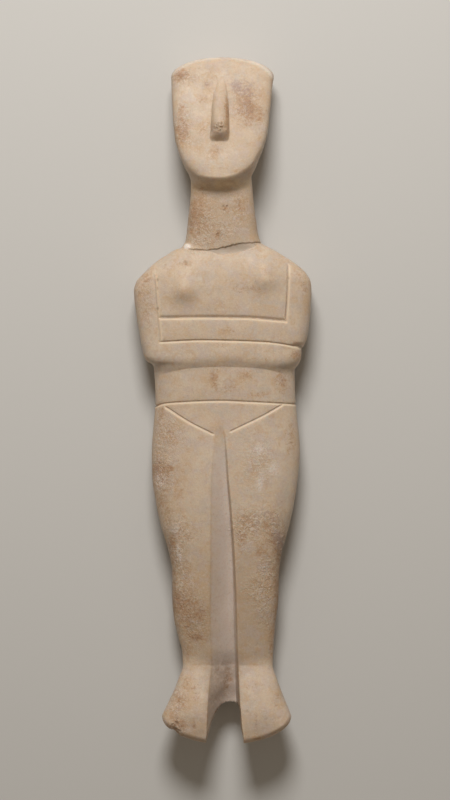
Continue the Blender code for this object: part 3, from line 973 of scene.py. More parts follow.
def carved_figurine():
    """The stone, thinned to its share of triangles, opened between the feet and shaded by area."""
    stone = new_object("carved_figurine", wrap_grid(carved_skin()))
    wanted = TRIANGLES * 1
    thin = stone.modifiers.new("thin", "DECIMATE")
    thin.ratio = wanted / (2 * len(stone.data.polygons))
    stone.data = applied(stone)
    cutter = foot_arch_cutter()
    opening = stone.modifiers.new("opening", "BOOLEAN")
    opening.operation = "DIFFERENCE"
    opening.solver = "EXACT"
    opening.object = cutter
    stone.data = applied(stone)
    bpy.data.objects.remove(cutter)
    stone.data.shade_smooth()
    stone.data.set_sharp_from_angle(angle=np.radians(SHARP_ANGLE))
    flat_places = stone.modifiers.new("flat_places", "WEIGHTED_NORMAL")
    flat_places.keep_sharp = True
    stone.data = applied(stone)
    return stone


stone = carved_figurine()
print("triangles", sum(len(p.vertices) - 2 for p in stone.data.polygons))

# The camera looks straight down through a long lens, from a distance above the stone's middle height.
# The view is as high as the photograph shows at that distance
VIEW_DISTANCE = 2.6
VIEW_HEIGHT = 0.46545
VIEW_MIDDLE = -0.0005
STONE_MIDDLE = 0.030
SENSOR_HEIGHT = 0.036

# One soft lamp beyond the head, a dim warm room and a pale floor
LAMP_PLACE = (-0.06, 0.90, 1.00)
LAMP_SIZE = 0.5
LAMP_POWER = 14.5
LAMP_COLOUR = (1.0, 0.98, 0.95)
ROOM_COLOUR = (1.0, 0.86, 0.69, 1)
ROOM_STRENGTH = 0.20
FLOOR_HALF_SIZE = 3.0
FLOOR_COLOUR = (0.62, 0.61, 0.59, 1)
FLOOR_ROUGHNESS = 0.9


def straight_down_camera():
    view = bpy.data.cameras.new("view")
    view.sensor_fit = "VERTICAL"
    view.sensor_height = SENSOR_HEIGHT * 1000
    view.lens = VIEW_DISTANCE / VIEW_HEIGHT * SENSOR_HEIGHT * 1000
    holder = bpy.data.objects.new("view", view)
    bpy.context.scene.collection.objects.link(holder)
    mid_line = metres(np.array(0.0), np.array(0.0), 0.0)[0]
    holder.location = (mid_line, VIEW_MIDDLE, STONE_MIDDLE + VIEW_DISTANCE)
    bpy.context.scene.camera = holder


def soft_lamp():
    lamp = bpy.data.lights.new("key", "AREA")
    lamp.shape = "DISK"
    lamp.size = LAMP_SIZE
    lamp.energy = LAMP_POWER
    lamp.color = LAMP_COLOUR
    holder = bpy.data.objects.new("key", lamp)
    bpy.context.scene.collection.objects.link(holder)
    holder.location = LAMP_PLACE
    holder.rotation_euler = (-holder.location).to_track_quat("-Z", "Y").to_euler()


def dim_room():
    world = bpy.data.worlds.new("room")
    bpy.context.scene.world = world
    world.use_nodes = True
    world.node_tree.nodes["Background"].inputs["Color"].default_value = ROOM_COLOUR
    world.node_tree.nodes["Background"].inputs["Strength"].default_value = ROOM_STRENGTH
    bpy.context.scene.view_settings.view_transform = "Standard"


def pale_floor():
    plane = bmesh.new()
    bmesh.ops.create_grid(plane, x_segments=1, y_segments=1, size=FLOOR_HALF_SIZE)
    mesh = bpy.data.meshes.new("floor")
    plane.to_mesh(mesh)
    plane.free()
    floor = new_object("floor", mesh)
    paint = bpy.data.materials.new("pale_floor")
    paint.use_nodes = True
    paint.node_tree.nodes["Principled BSDF"].inputs["Base Color"].default_value = FLOOR_COLOUR
    paint.node_tree.nodes["Principled BSDF"].inputs["Roughness"].default_value = FLOOR_ROUGHNESS
    mesh.materials.append(paint)


straight_down_camera()
soft_lamp()
dim_room()
pale_floor()

# What the ground left on the stone, and painted shade: darker strips along the sides of the neck and the
# legs, on the nose's underside and left flank, and on the channel floor between the feet. Each patch is
# (across, distance from crown, radius across, radius along, turn in degrees, strength); a turn moves the
# patch's top to the left
RUST_AND_EDGE_SHADE_PATCHES = (
    (-26.2, 11.5, 5.5, 4.0, 25, 0.9),
    (-24.5, 44.0, 4.6, 7.5, 0, 1.0),
    (-25.6, 33.0, 2.6, 5.5, 0, 0.7),
    (-12.0, 25.5, 4.2, 3.2, 0, 0.45),
    (-13.0, 42.5, 3.0, 4.0, 0, 0.45),
    (-5.8, 56.0, 4.8, 4.2, 0, 0.55),
    (7.5, 68.0, 3.2, 1.5, 0, 0.5),
    (13.0, 31.0, 7.5, 10.5, 15, 1.0),
    (20.0, 36.0, 3.0, 5.0, 0, 0.6),
    (9.0, 18.0, 5.0, 4.0, 0, 0.35),
    (0.9, 32.5, 1.4, 8.5, 0, 0.95),
    (1.2, 45.0, 1.2, 4.0, 0, 0.5),
    (-10.0, 12.0, 4.0, 4.0, 0, 0.35),
    (-4.1, 104.0, 2.0, 3.0, 0, 0.8),
    (0.3, 88.8, 2.4, 2.2, 0, 0.8),
    (-17.0, 90.0, 3.0, 5.0, 0, 0.6),
    (-19.5, 100.0, 2.0, 8.0, 0, 0.5),
    (11.0, 85.0, 4.0, 6.0, 0, 0.4),
    (8.5, 87.0, 4.0, 6.0, 0, 0.35),
    (-8.0, 100.0, 5.0, 3.5, 0, 0.25),
    (-12.0, 78.0, 4.5, 3.5, 0, 0.3),
    (-46.5, 132.0, 5.5, 10.0, -20, 0.45),
    (-44.5, 150.0, 4.0, 9.0, 0, 0.4),
    (13.5, 136.0, 4.5, 3.0, 0, 0.6),
    (5.5, 136.0, 3.0, 2.6, 0, 0.6),
    (28.0, 126.0, 7.0, 6.0, 0, 0.35),
    (44.5, 131.0, 4.0, 8.0, 15, 0.45),
    (-22.8, 121.5, 4.0, 2.2, 0, 0.7),
    (-6.0, 148.0, 6.0, 4.0, 0, 0.35),
    (2.0, 160.5, 6.0, 2.6, 0, 0.35),
    (-1.0, 168.0, 4.0, 2.0, 0, 0.45),
    (41.0, 174.0, 3.5, 3.0, 0, 0.8),
    (18.0, 176.5, 8.0, 2.0, 0, 0.35),
    (-6.5, 187.5, 3.2, 6.5, 0, 0.75),
    (12.0, 186.0, 6.0, 3.5, 0, 0.55),
    (1.5, 193.5, 7.0, 3.0, 0, 0.55),
    (33.5, 190.0, 4.0, 6.0, 0, 0.75),
    (20.0, 197.0, 9.0, 3.0, 0, 0.4),
    (-36.5, 209.0, 3.0, 7.0, 0, 0.6),
    (-33.0, 222.0, 8.0, 9.0, 0, 0.4),
    (-38.5, 243.0, 5.5, 9.0, 0, 0.95),
    (-31.5, 240.5, 2.6, 2.2, 0, 0.9),
    (-36.5, 262.0, 4.0, 9.0, 0, 0.55),
    (-27.0, 254.0, 4.0, 14.0, 0, 0.35),
    (38.5, 222.0, 3.0, 10.0, 0, 0.6),
    (13.5, 271.0, 7.5, 7.0, 0, 0.5),
    (28.0, 275.0, 7.5, 9.0, 20, 0.45),
    (31.5, 290.0, 4.0, 11.0, 25, 0.6),
    (21.0, 288.0, 5.0, 6.0, 0, 0.5),
    (9.5, 283.0, 3.5, 8.0, 0, 0.5),
    (-30.0, 281.0, 4.0, 12.0, -25, 0.6),
    (-21.0, 279.5, 3.0, 3.0, 0, 0.6),
    (-24.0, 297.0, 5.0, 7.0, 0, 0.4),
    (25.0, 305.0, 7.0, 8.0, 0, 0.5),
    (30.5, 322.0, 2.5, 12.0, 0, 0.7),
    (-27.5, 318.0, 4.0, 10.0, 0, 0.7),
    (-20.5, 322.0, 6.0, 14.0, 0, 0.75),
    (-13.0, 325.0, 4.0, 6.0, 0, 0.6),
    (-16.0, 338.5, 4.0, 2.5, 0, 0.95),
    (-22.0, 348.0, 3.0, 5.0, 0, 0.5),
    (27.0, 343.0, 2.0, 11.0, 0, 0.65),
    (-22.5, 365.0, 3.5, 6.0, 20, 0.55),
    (-26.0, 375.0, 4.0, 6.0, 25, 0.7),
    (-16.0, 371.0, 3.0, 7.0, 0, 0.5),
    (-30.5, 384.0, 4.0, 4.0, 0, 0.65),
    (-26.5, 388.5, 4.0, 3.0, 0, 0.9),
    (-17.9, 390.5, 1.0, 3.2, 0, 1.0),
    (16.0, 366.0, 5.0, 6.0, 0, 0.35),
    (19.0, 383.0, 6.0, 3.0, 0, 0.45),
    (31.0, 372.0, 2.5, 6.0, -25, 0.5),
    (19.5, 397.0, 5.0, 1.6, 0, 0.6),
    (0.5, 362.0, 8.0, 9.0, 0, 0.35),
    (1.0, 366.0, 2.2, 9.0, -9, 0.5),
    (-16.0, 96.0, 6.0, 12.0, 0, 0.55),
    (-15.0, 85.0, 5.0, 6.0, 0, 0.4),
    # Painted shade along the outer sides of the legs
    (-30.5, 318.0, 2.5, 24.0, 0, 0.5),
    (31.5, 316.0, 3.0, 26.0, 0, 0.6),
)
TAN_AND_SHADE_PATCHES = (
    (-3.2, 36.0, 4.0, 12.0, 0, 0.85),
    (-6.0, 46.0, 22.0, 18.0, 0, 0.4),
    (16.0, 40.0, 12.0, 24.0, 0, 0.4),
    (-2.0, 92.0, 30.0, 17.0, 0, 0.9),
    (-16.0, 50.0, 7.0, 9.0, 0, 0.4),
    # Painted shade along the sides of the neck
    (-20.0, 92.0, 7.0, 15.0, 0, 0.6),
    (17.0, 92.0, 5.0, 17.0, 0, 0.6),
    # Painted shade under the nose
    (-3.2, 47.8, 6.0, 3.4, 0, 1.0),
    (1.4, 36.0, 1.3, 12.0, 0, 0.7),
    # Painted shade on the nose's left flank
    (-7.9, 36.0, 0.9, 13.0, 0, 0.5),
    (0.0, 320.0, 60.0, 38.0, 0, 0.9),
    # Painted shade along the outer sides of the legs
    (-31.0, 318.0, 4.0, 32.0, 0, 0.9),
    (31.5, 316.0, 4.5, 34.0, 0, 1.0),
    (-30.0, 392.0, 30.0, 12.0, 0, 0.9),
    (28.0, 396.0, 30.0, 9.0, 0, 0.8),
    (-46.0, 240.0, 14.0, 40.0, 0, 0.6),
    (44.0, 225.0, 8.0, 30.0, 0, 0.4),
    # Painted shade on the channel floor between the feet
    (0.0, 372.0, 10.0, 15.0, 0, 0.85),
    (-9.5, 372.0, 3.0, 22.0, 0, 0.6),
)
# Painted highlight along the rounded rim of the crown: the line that it follows, and its half width
CROWN_HIGHLIGHT_LINE = (
    (-31.2, 12.0),
    (-26.0, 6.2),
    (-16.0, 2.0),
    (-2.0, 0.2),
    (12.0, 1.8),
    (22.0, 5.8),
    (28.4, 12.0),
)
CROWN_HIGHLIGHT_WIDTH = 2.2
EARTHY_AND_SHADE_PATCHES = (
    (-3.9, 43.0, 4.4, 2.8, 0, 1.0),
    (-3.5, 31.0, 3.6, 11.0, 0, 0.17),
    (-1.0, 36.0, 36.0, 36.0, 0, 0.06),
    (-16.0, 50.0, 7.0, 9.0, 0, 0.1),
    (0.0, 159.0, 28.0, 4.0, 0, 0.05),
    # Painted shade on the channel floor between the feet
    (0.0, 378.0, 8.0, 7.5, 0, 0.78),
    (-2.0, 357.0, 9.0, 9.0, 0, 0.82),
    (1.0, 371.0, 6.0, 8.0, 0, 0.25),
    (5.0, 363.0, 5.0, 13.0, 0, 0.45),
    (-8.6, 375.0, 3.0, 17.0, 0, 0.45),
    # Painted shade along the outer sides of the legs
    (-31.8, 312.0, 3.0, 34.0, 0, 0.55),
    (32.5, 310.0, 3.8, 36.0, 0, 0.68),
    (-18.0, 389.0, 11.0, 6.5, 0, 0.4),
    (22.0, 389.5, 12.0, 6.0, 0, 0.28),
    # Painted shade along the sides of the neck
    (-21.5, 94.0, 2.5, 16.0, 0, 0.25),
    (18.5, 94.0, 2.5, 16.0, 0, 0.3),
    (-20.0, 399.0, 18.0, 5.0, -12, 0.2),
    (22.0, 400.0, 18.0, 4.0, 12, 0.16),
    (-18.0, 338.0, 9.0, 14.0, 0, 0.13),
    (18.0, 340.0, 9.0, 11.0, 0, 0.07),
)
MAUVE_PATCHES = (
    (6.5, 17.5, 3.6, 3.6, 0, 1.0),
    (13.5, 20.0, 7.0, 5.0, 0, 0.75),
    (12.5, 31.0, 5.0, 6.0, 0, 0.5),
    (-10.5, 16.5, 3.4, 1.8, 15, 0.8),
    (-25.5, 12.5, 2.5, 2.5, 0, 0.5),
    (-24.3, 43.5, 2.0, 4.0, 0, 0.4),
    (31.5, 283.0, 4.0, 12.0, 22, 0.8),
    (24.0, 268.0, 8.0, 4.0, 0, 0.5),
    (-39.5, 240.0, 2.0, 5.0, 0, 0.6),
    (-27.5, 319.0, 1.6, 5.0, 0, 0.5),
    (18.0, 388.0, 1.2, 9.0, 0, 0.55),
    (23.5, 385.0, 1.4, 8.0, 0, 0.5),
    (28.5, 382.0, 1.2, 7.0, 0, 0.55),
    (33.0, 379.0, 1.0, 6.0, 0, 0.4),
)
PALE_PATCHES = (
    (-5.0, 33.0, 1.6, 9.0, 0, 0.7),
    (-21.0, 26.0, 6.0, 9.0, 0, 0.7),
    (4.0, 60.0, 9.0, 6.0, 0, 0.5),
    (12.0, 14.0, 6.0, 3.0, 0, 0.35),
    (0.0, 12.5, 3.5, 3.0, 0, 0.8),
    (-14.5, 116.5, 6.0, 2.2, 0, 1.0),
    (22.0, 114.0, 6.0, 3.0, 0, 0.6),
    (-15.0, 130.0, 6.0, 5.0, 0, 0.5),
    (-40.0, 172.0, 6.0, 7.0, 0, 0.7),
    (-24.0, 190.0, 9.0, 7.0, 0, 0.6),
    (-14.0, 228.0, 6.0, 12.0, 0, 0.35),
    (-3.0, 185.0, 3.0, 4.0, 0, 0.4),
    (35.0, 240.0, 4.0, 16.0, 0, 0.3),
    (-8.0, 64.0, 8.0, 4.0, 0, 0.4),
    (-43.0, 158.0, 6.0, 15.0, 0, 0.4),
    (26.0, 228.0, 15.0, 24.0, 0, 0.62),
    (-24.0, 271.0, 11.0, 7.0, 0, 0.5),
    (22.0, 269.0, 9.0, 7.0, 0, 0.42),
    (-12.4, 366.0, 1.8, 11.0, 3, 0.6),
)
# Warmer, lighter colour: painted warm fill light in the shade under the chin, and warmer stone on the thighs
# and shins
WARM_TONE_AND_FILL_PATCHES = (
    # Painted warm fill light in the shade under the chin
    (0.0, 75.4, 24.0, 3.4, 0, 1.0),
    (21.0, 271.0, 15.0, 12.0, 0, 0.32),
    (-24.0, 271.0, 12.0, 10.0, 0, 0.25),
    (-22.0, 318.0, 11.0, 34.0, 0, 0.3),
    (25.0, 312.0, 9.0, 22.0, 0, 0.25),
)
ROOT_MARKS = (
    (19.5, 229.5, 3.4, 3.2, 0, 1.0),
    (28.6, 240.5, 3.4, 4.6, 15, 1.0),
    (20.5, 249.0, 2.2, 6.5, -10, 0.9),
    (21.0, 222.0, 3.0, 3.0, 0, 0.4),
    (-38.0, 247.0, 4.0, 5.5, 0, 0.9),
    (-28.0, 276.0, 7.0, 4.0, -20, 0.7),
    (-26.5, 289.5, 1.6, 7.5, 10, 1.0),
    (30.0, 276.0, 5.0, 14.0, 22, 0.35),
    (16.5, 270.0, 6.0, 4.0, 0, 0.3),
    (14.0, 286.0, 5.0, 4.0, 0, 0.45),
    (24.0, 301.0, 5.0, 7.0, 20, 0.45),
    (-27.0, 370.0, 3.0, 5.0, 20, 0.5),
    (10.0, 33.0, 7.0, 8.0, 0, 0.45),
    (23.0, 44.0, 3.0, 6.0, 0, 0.5),
    (-24.0, 41.0, 4.0, 9.0, 0, 0.5),
)

# Lighter stone in the incised lines' gentle walls, which face the light, is partly new stone and partly
# painted highlight; earth in their steep ones, which face away, is partly painted shade: place and half width
# as shares of the wall's width, and the earth's strength
FRESH_AND_HIGHLIGHT_IN_WALL = (0.65, 0.95)
EARTH_AND_SHADE_IN_WALL = (0.35, 1.0, 0.4)
CRACK_HALF_WIDTH = 0.55
PIT_EARTH = 1.1

# Painted shade in earth colour under the nose: where the facet lies down the face, how softly its sides and
# its upper and lower edges begin, and its strength at the top and what the bottom adds
NOSE_UNDERSIDE = (44.4, 50.9)
UNDERSIDE_EDGES = (0.5, 0.8, 0.6)
UNDERSIDE_SHADE = (0.04, 0.56)

# Earth and painted shade along the channel: where they begin and end, and lines beside its edges as
# (distance, half width, strength). Further down, the right line gets weaker and a broad band joins it
CHANNEL_EARTH_AND_SHADE_BEGINS = (232, 40)
CHANNEL_EARTH_AND_SHADE_ENDS = 378
LEFT_EARTH_AND_SHADE = (0.2, 1.0, 0.16)
RIGHT_EARTH_AND_SHADE = (0.9, 1.3, 0.25)
BROAD_EARTH_AND_SHADE = (2.2, 2.8, 0.22)
SOFTER_BEGINS = (305, 40)
SOFTER_BY = 0.13

# The channel's grey floor: where it begins from the top and from both edges, and where it gets paler
FLOOR_TOP = (220, 16)
FLOOR_LEFT = (0.4, 1.2)
FLOOR_RIGHT = (0.9, 0.8)
FLOOR_PALER = (3.4, 5)
FLOOR_DARKEST = 0.7

# The fill's colour, a little inside its carved edge
FILL_COLOUR_BEGINS = 0.1
FILL_COLOUR_SLOPE = 0.7

# Where the front's finishes end at the sides, as a share of the way from the edge to the back
FRONT_SHARE = 0.65

# Scattered stains on the back: how many, and the ranges of their places, radii and strengths
BACK_STAINS = 60
BACK_STAIN_SEED = 7
BACK_STAIN_ACROSS = (-40, 40)
BACK_STAIN_ALONG = (10, 390)
BACK_STAIN_RADII = (3, 12)
BACK_STAIN_STRENGTH = (0.2, 0.7)


def fresh_and_highlit_walls(across, along):
    """The lighter stone in the gentle walls of the incised lines, partly new stone and partly painted
    highlight on walls that face the light.
    """
    place, width = FRESH_AND_HIGHLIGHT_IN_WALL
    light = np.zeros(np.shape(across))
    for line, _, _, gentle in FRONT_LINES:
        beside = beside_line(across, along, line)
        light = np.maximum(light, stripe(beside - place * gentle, width * gentle))
    return light


def earth_and_shade_in_lines(across, along):
    """Earth in the steep walls of the incised lines, partly painted shade on walls that face away from the
    light, and earth in the break.
    """
    place, width, strength = EARTH_AND_SHADE_IN_WALL
    dark = stripe(beside_line(across, along, BREAK_LINE), CRACK_HALF_WIDTH)
    for line, _, steep, _ in FRONT_LINES:
        beside = beside_line(across, along, line)
        dark = np.maximum(dark, strength * stripe(beside + place * steep, width * steep))
    return dark


def painted_shade_under_nose(across, along):
    """Painted shade in earth colour on the slanting facet under the nose, stronger towards its lower edge."""
    from_left = across - through(NOSE_SIDES)(along)
    from_right = through(NOSE_SIDES, 2)(along) - across
    begins, ends = NOSE_UNDERSIDE
    side, upper, lower = UNDERSIDE_EDGES
    inside = eased(from_left / side) * eased(from_right / side)
    inside = inside * starting(along, (begins, upper)) * ending(along, (ends, lower))
    least, more = UNDERSIDE_SHADE
    return inside * (least + more * np.clip((along - begins) / (ends - begins), 0, 1))


def earth_and_shade_in_channel(across, along):
    """Earth and painted shade along both edges of the channel between the legs."""
    from_left, from_right = from_channel_edges(across, along)
    softer = starting(along, SOFTER_BEGINS)
    place, width, strength = LEFT_EARTH_AND_SHADE
    dark = strength * stripe(from_left - place, width)
    place, width, strength = RIGHT_EARTH_AND_SHADE
    dark = np.maximum(dark, (strength - SOFTER_BY * softer) * stripe(from_right - place, width))
    place, width, strength = BROAD_EARTH_AND_SHADE
    dark = np.maximum(dark, strength * softer * stripe(from_right - place, width))
    return dark * starting(along, CHANNEL_EARTH_AND_SHADE_BEGINS) * (along < CHANNEL_EARTH_AND_SHADE_ENDS)


def earth_and_shade_cover(across, along):
    """Earth and painted shade in the corners: lines, the break, under the nose, in the channel, on patches
    and in pits.
    """
    dark = np.maximum(earth_and_shade_in_lines(across, along), earth_and_shade_in_channel(across, along))
    # Painted shade under the nose
    dark = np.maximum(dark, painted_shade_under_nose(across, along))
    dark = np.maximum(dark, patch_cover(across, along, EARTHY_AND_SHADE_PATCHES))
    for x, y, radius_across, radius_along, deep in SCOOPS:
        in_pit = min(1, PIT_EARTH * deep) * mound(across, along, x, y, radius_across, radius_along)
        dark = np.maximum(dark, in_pit)
    return dark


def channel_floor(across, along):
    """The greyer floor of the channel between the legs."""
    from_left, from_right = from_channel_edges(across, along)
    paler = FLOOR_DARKEST + (1 - FLOOR_DARKEST) * starting(from_left, FLOOR_PALER)
    sides = starting(from_left, FLOOR_LEFT) * starting(from_right, FLOOR_RIGHT)
    return paler * sides * starting(along, FLOOR_TOP)


def fill_cover(across, along):
    """The greyish-brown fill in the mended break."""
    beside = beside_line(across, along, BREAK_LINE)
    past_edge = along - line_height(across, FILL_EDGE)
    lens = in_fill(across, beside, FILL_COLOUR_BEGINS)
    return np.where(lens, eased(-past_edge / FILL_COLOUR_SLOPE), 0)


def lump_cover(across, along):
    """The pale lump at the end of the break."""
    x, y, radius_across, radius_along, _ = FILL_LUMP
    return flat_topped(mound(across, along, x, y, radius_across, radius_along), LUMP_EDGE)


def back_stains():
    """Patches scattered over the back."""
    scatter = np.random.default_rng(BACK_STAIN_SEED)
    stains = []
    for _ in range(BACK_STAINS):
        place = scatter.uniform(*BACK_STAIN_ACROSS), scatter.uniform(*BACK_STAIN_ALONG)
        radii = scatter.uniform(*BACK_STAIN_RADII, 2)
        stains.append((*place, *radii, 0, scatter.uniform(*BACK_STAIN_STRENGTH)))
    return stains


def paint_places(stone):
    """Attributes that say where each finish of the stone lies, and where light and shade are painted on it.
    """
    points = np.zeros(len(stone.data.vertices) * 3, np.float32)
    stone.data.vertices.foreach_get("co", points)
    points = points.reshape(-1, 3).astype(float)
    across = (points[:, 0] - LOW.x) / MM_ACROSS + np.array(OUTLINE)[:, 1].min()
    along = (HIGH.y - points[:, 1]) / MM_ALONG
    side = FRONT_SHARE * through(BACK_HEIGHT)(along) + (1 - FRONT_SHARE) * through(EDGE_HEIGHT)(along)
    on_front = (points[:, 2] - LOW.z) / MM_DEEP > side
    rust_and_edge_shade_in_front = patch_cover(across, along, RUST_AND_EDGE_SHADE_PATCHES)
    rust_behind = patch_cover(across, along, back_stains())
    finishes = {
        # Rust stains, and painted shade along the sides of the legs
        "rust": np.where(on_front, rust_and_edge_shade_in_front, rust_behind),
        # Tan stains, and painted shade at the sides of the neck and legs, under the nose and between the feet
        "tan": patch_cover(across, along, TAN_AND_SHADE_PATCHES),
        "worn": patch_cover(across, along, WORN_PATCHES) * on_front,
        "mauve": patch_cover(across, along, MAUVE_PATCHES) * on_front,
        # Warmer stone, and painted warm fill light in the shade under the chin
        "warm": patch_cover(across, along, WARM_TONE_AND_FILL_PATCHES) * on_front,
        # Painted highlight along the crown's rim
        "painted_crown_highlight": stripe(beside_line(across, along, CROWN_HIGHLIGHT_LINE), CROWN_HIGHLIGHT_WIDTH) * on_front,
        "pale": patch_cover(across, along, PALE_PATCHES) * on_front,
        "roots": patch_cover(across, along, ROOT_MARKS) * on_front,
        # Lighter walls of the incised lines: new stone and painted highlight
        "fresh_and_highlit": fresh_and_highlit_walls(across, along) * on_front,
        # Earth, and painted shade under the nose, in the lines' steep walls, along the channel and on some
        # patches
        "earth": earth_and_shade_cover(across, along) * on_front,
        "grey": channel_floor(across, along) * on_front,
        "fill": fill_cover(across, along) * on_front,
        "lump": lump_cover(across, along),
    }
    for name, cover in finishes.items():
        layer = stone.data.attributes.new(name, "FLOAT", "POINT")
        layer.data.foreach_set("value", np.clip(cover, 0, 1).astype(np.float32))


class Nodes:
    """Short names for the shader nodes that the stone's finish is built from."""

    def __init__(self, material):
        material.use_nodes = True
        self.tree = material.node_tree
        self.shader = self.tree.nodes["Principled BSDF"]
        self.place = self.tree.nodes.new("ShaderNodeTexCoord").outputs["Object"]

    def add(self, kind, inputs=(), **settings):
        node = self.tree.nodes.new(kind)
        for name, value in settings.items():
            setattr(node, name, value)
        for socket, value in dict(inputs).items():
            if isinstance(value, bpy.types.NodeSocket):
                self.tree.links.new(value, node.inputs[socket])
            else:
                node.inputs[socket].default_value = value
        return node

    def noise(self, size, detail, roughness, distortion, shift):
        """Noise from 0 to 1 whose waves are about the size given in metres."""
        moved = self.add("ShaderNodeMapping", {"Vector": self.place, "Location": (shift, shift, shift)})
        inputs = {"Vector": moved.outputs["Vector"], "Scale": 1 / size, "Detail": detail}
        inputs.update({"Roughness": roughness, "Distortion": distortion})
        return self.add("ShaderNodeTexNoise", inputs).outputs["Fac"]

    def maths(self, operation, a, b=0.0):
        return self.add("ShaderNodeMath", {0: a, 1: b}, operation=operation).outputs[0]

    def cover(self, name, most=1.0):
        """How much a finish covers each place of the stone, times its most."""
        painted = self.add("ShaderNodeAttribute", attribute_name=name).outputs["Fac"]
        return painted if most == 1.0 else self.maths("MULTIPLY", painted, most)

    def band(self, value, low, high, smallest=0.0, largest=1.0):
        """A value brought from between two bounds to between two others, with soft ends."""
        inputs = {"Value": value, "From Min": low, "From Max": high, "To Min": smallest, "To Max": largest}
        return self.add("ShaderNodeMapRange", inputs, interpolation_type="SMOOTHSTEP").outputs["Result"]

    def over(self, below, above, share):
        """One colour laid over another by a share."""
        mix = self.add("ShaderNodeMix", data_type="RGBA", blend_type="MIX")
        for socket, value in ((mix.inputs[0], share), (mix.inputs[6], below), (mix.inputs[7], above)):
            if isinstance(value, bpy.types.NodeSocket):
                self.tree.links.new(value, socket)
            else:
                socket.default_value = value
        return mix.outputs[2]

    def clouds(self, below, above, waves, low, high, most):
        """A colour laid on in clouds all over."""
        return self.over(below, above, self.band(self.noise(*waves), low, high, 0, most))

    def wash(self, below, above, name, most):
        """A colour laid on where a finish lies."""
        return self.over(below, above, self.cover(name, most))

    def stain(self, below, above, name, lift, waves, low, high, most):
        """A colour laid on in clouds that thicken where a finish lies."""
        lifted = self.maths("ADD", self.cover(name, lift), self.noise(*waves))
        return self.over(below, above, self.band(lifted, low, high, 0, most))


# Colours of the stone and of what lies on it, some of which also paint light and shade
IVORY = (0.63, 0.505, 0.38, 1)
CREAM = (0.60, 0.455, 0.32, 1)
GREY_MARBLE = (0.53, 0.45, 0.375, 1)
PALE_MARBLE = (0.66, 0.57, 0.465, 1)
PINK_GREY = (0.56, 0.45, 0.385, 1)
OCHRE = (0.56, 0.375, 0.215, 1)
TAN = (0.50, 0.36, 0.235, 1)
RUST = (0.44, 0.26, 0.145, 1)
DEEP_RUST = (0.25, 0.13, 0.065, 1)
MAUVE = (0.38, 0.265, 0.23, 1)
ROOT_WHITE = (0.76, 0.67, 0.60, 1)
# New stone, and painted highlight on the lit walls of the incised lines
FRESH_STONE_AND_HIGHLIGHT = (0.76, 0.61, 0.45, 1)
# Earth, also used for painted shade
EARTH_AND_SHADE_BROWN = (0.15, 0.09, 0.05, 1)
CHANNEL_GREY = (0.66, 0.565, 0.51, 1)
FILL_BROWN = (0.45, 0.36, 0.28, 1)
LUMP_CREAM = (0.80, 0.70, 0.62, 1)
# Painted highlight for the crown's rim
CROWN_HIGHLIGHT_WHITE = (0.80, 0.72, 0.62, 1)
# Warmer stone, and painted warm fill light in the shade under the chin
WARM_TONE_AND_FILL_LIGHT = (0.80, 0.62, 0.40, 1)

# Light that goes into the stone and comes out again
SUBSURFACE = 0.35
SUBSURFACE_RADIUS = (1.0, 0.6, 0.4)
SUBSURFACE_DEPTH = 0.005

# Noise is given as size in metres, detail, roughness, distortion and shift. Clouds are a colour, its noise,
# the bounds between which they thicken, and their most; washes a colour, its finish and its most; stains a
# colour, its finish and how much that lifts the noise, then the noise, bounds and most
CREAM_CLOUDS = (CREAM, (0.016, 5, 0.6, 0.3, 0.0), 0.38, 0.62, 1.0)
GREY_CLOUDS = (GREY_MARBLE, (0.009, 6, 0.65, 0.4, 3.0), 0.44, 0.66, 0.85)
FIRST_WASHES = (
    (TAN, "tan", 0.75),
    (PALE_MARBLE, "pale", 0.6),
    # Painted highlight along the crown's rim
    (CROWN_HIGHLIGHT_WHITE, "painted_crown_highlight", 0.75),
    # Warmer stone, and painted warm fill light under the chin
    (WARM_TONE_AND_FILL_LIGHT, "warm", 0.85),
)
PINK_CLOUDS = (PINK_GREY, (0.0065, 7, 0.62, 0.6, 41.0), 0.47, 0.63, 0.65)
OCHRE_STAIN = (OCHRE, "rust", 0.10, (0.0075, 8, 0.66, 0.6, 33.0), 0.50, 0.66, 0.52)
CHANNEL_WASH = (CHANNEL_GREY, "grey", 0.8)
SPECKLE = (0.0012, 5, 0.7, 0.2, 57.0)
DARK_SPECKLE = (TAN, SPECKLE, 0.50, 0.64, 0.28)
PALE_SPECKLE = (PALE_MARBLE, SPECKLE, 0.48, 0.36, 0.28)
STAINS = (
    (RUST, "rust", 0.28, (0.0028, 7, 0.76, 0.7, 5.0), 0.55, 0.79, 0.82),
    (DEEP_RUST, "rust", 0.18, (0.0013, 4, 0.7, 0.2, 9.0), 0.60, 0.80, 0.5),
    (MAUVE, "mauve", 0.34, (0.0020, 6, 0.74, 0.5, 13.0), 0.58, 0.84, 0.7),
)
FROST_CLOUDS = (PALE_MARBLE, (0.0015, 4, 0.65, 0.4, 37.0), 0.55, 0.70, 0.5)
FRESH_AND_HIGHLIGHT_WASH = (FRESH_STONE_AND_HIGHLIGHT, "fresh_and_highlit", 0.85)
LAST_WASHES = ((FILL_BROWN, "fill", 1.0), (LUMP_CREAM, "lump", 1.0))

# Worn stone: wiggling hollows filled with rust and crests bleached white
WIGGLES = (0.0016, 3, 0.55, 1.6, 17.0)
HOLLOW_BAND = (0.50, 0.41)
CREST_BAND = (0.51, 0.61)
HOLLOW_RUST = 0.62
CREST_WHITE = 0.58

# Root marks: thin white veins and crumbs
VEINS = (0.0016, 4, 0.6, 1.2, 47.0)
VEIN_MIDDLE = 0.5
VEIN_BAND = (0.075, 0.0)
VEIN_COVER = (0.08, 0.8)
VEIN_WHITE = 0.8
CRUMBS = (0.0016, 5, 0.7, 0.8, 61.0)
CRUMB_BAND = (0.47, 0.58)
CRUMB_COVER = (0.35, 0.95)
CRUMB_WHITE = 0.75

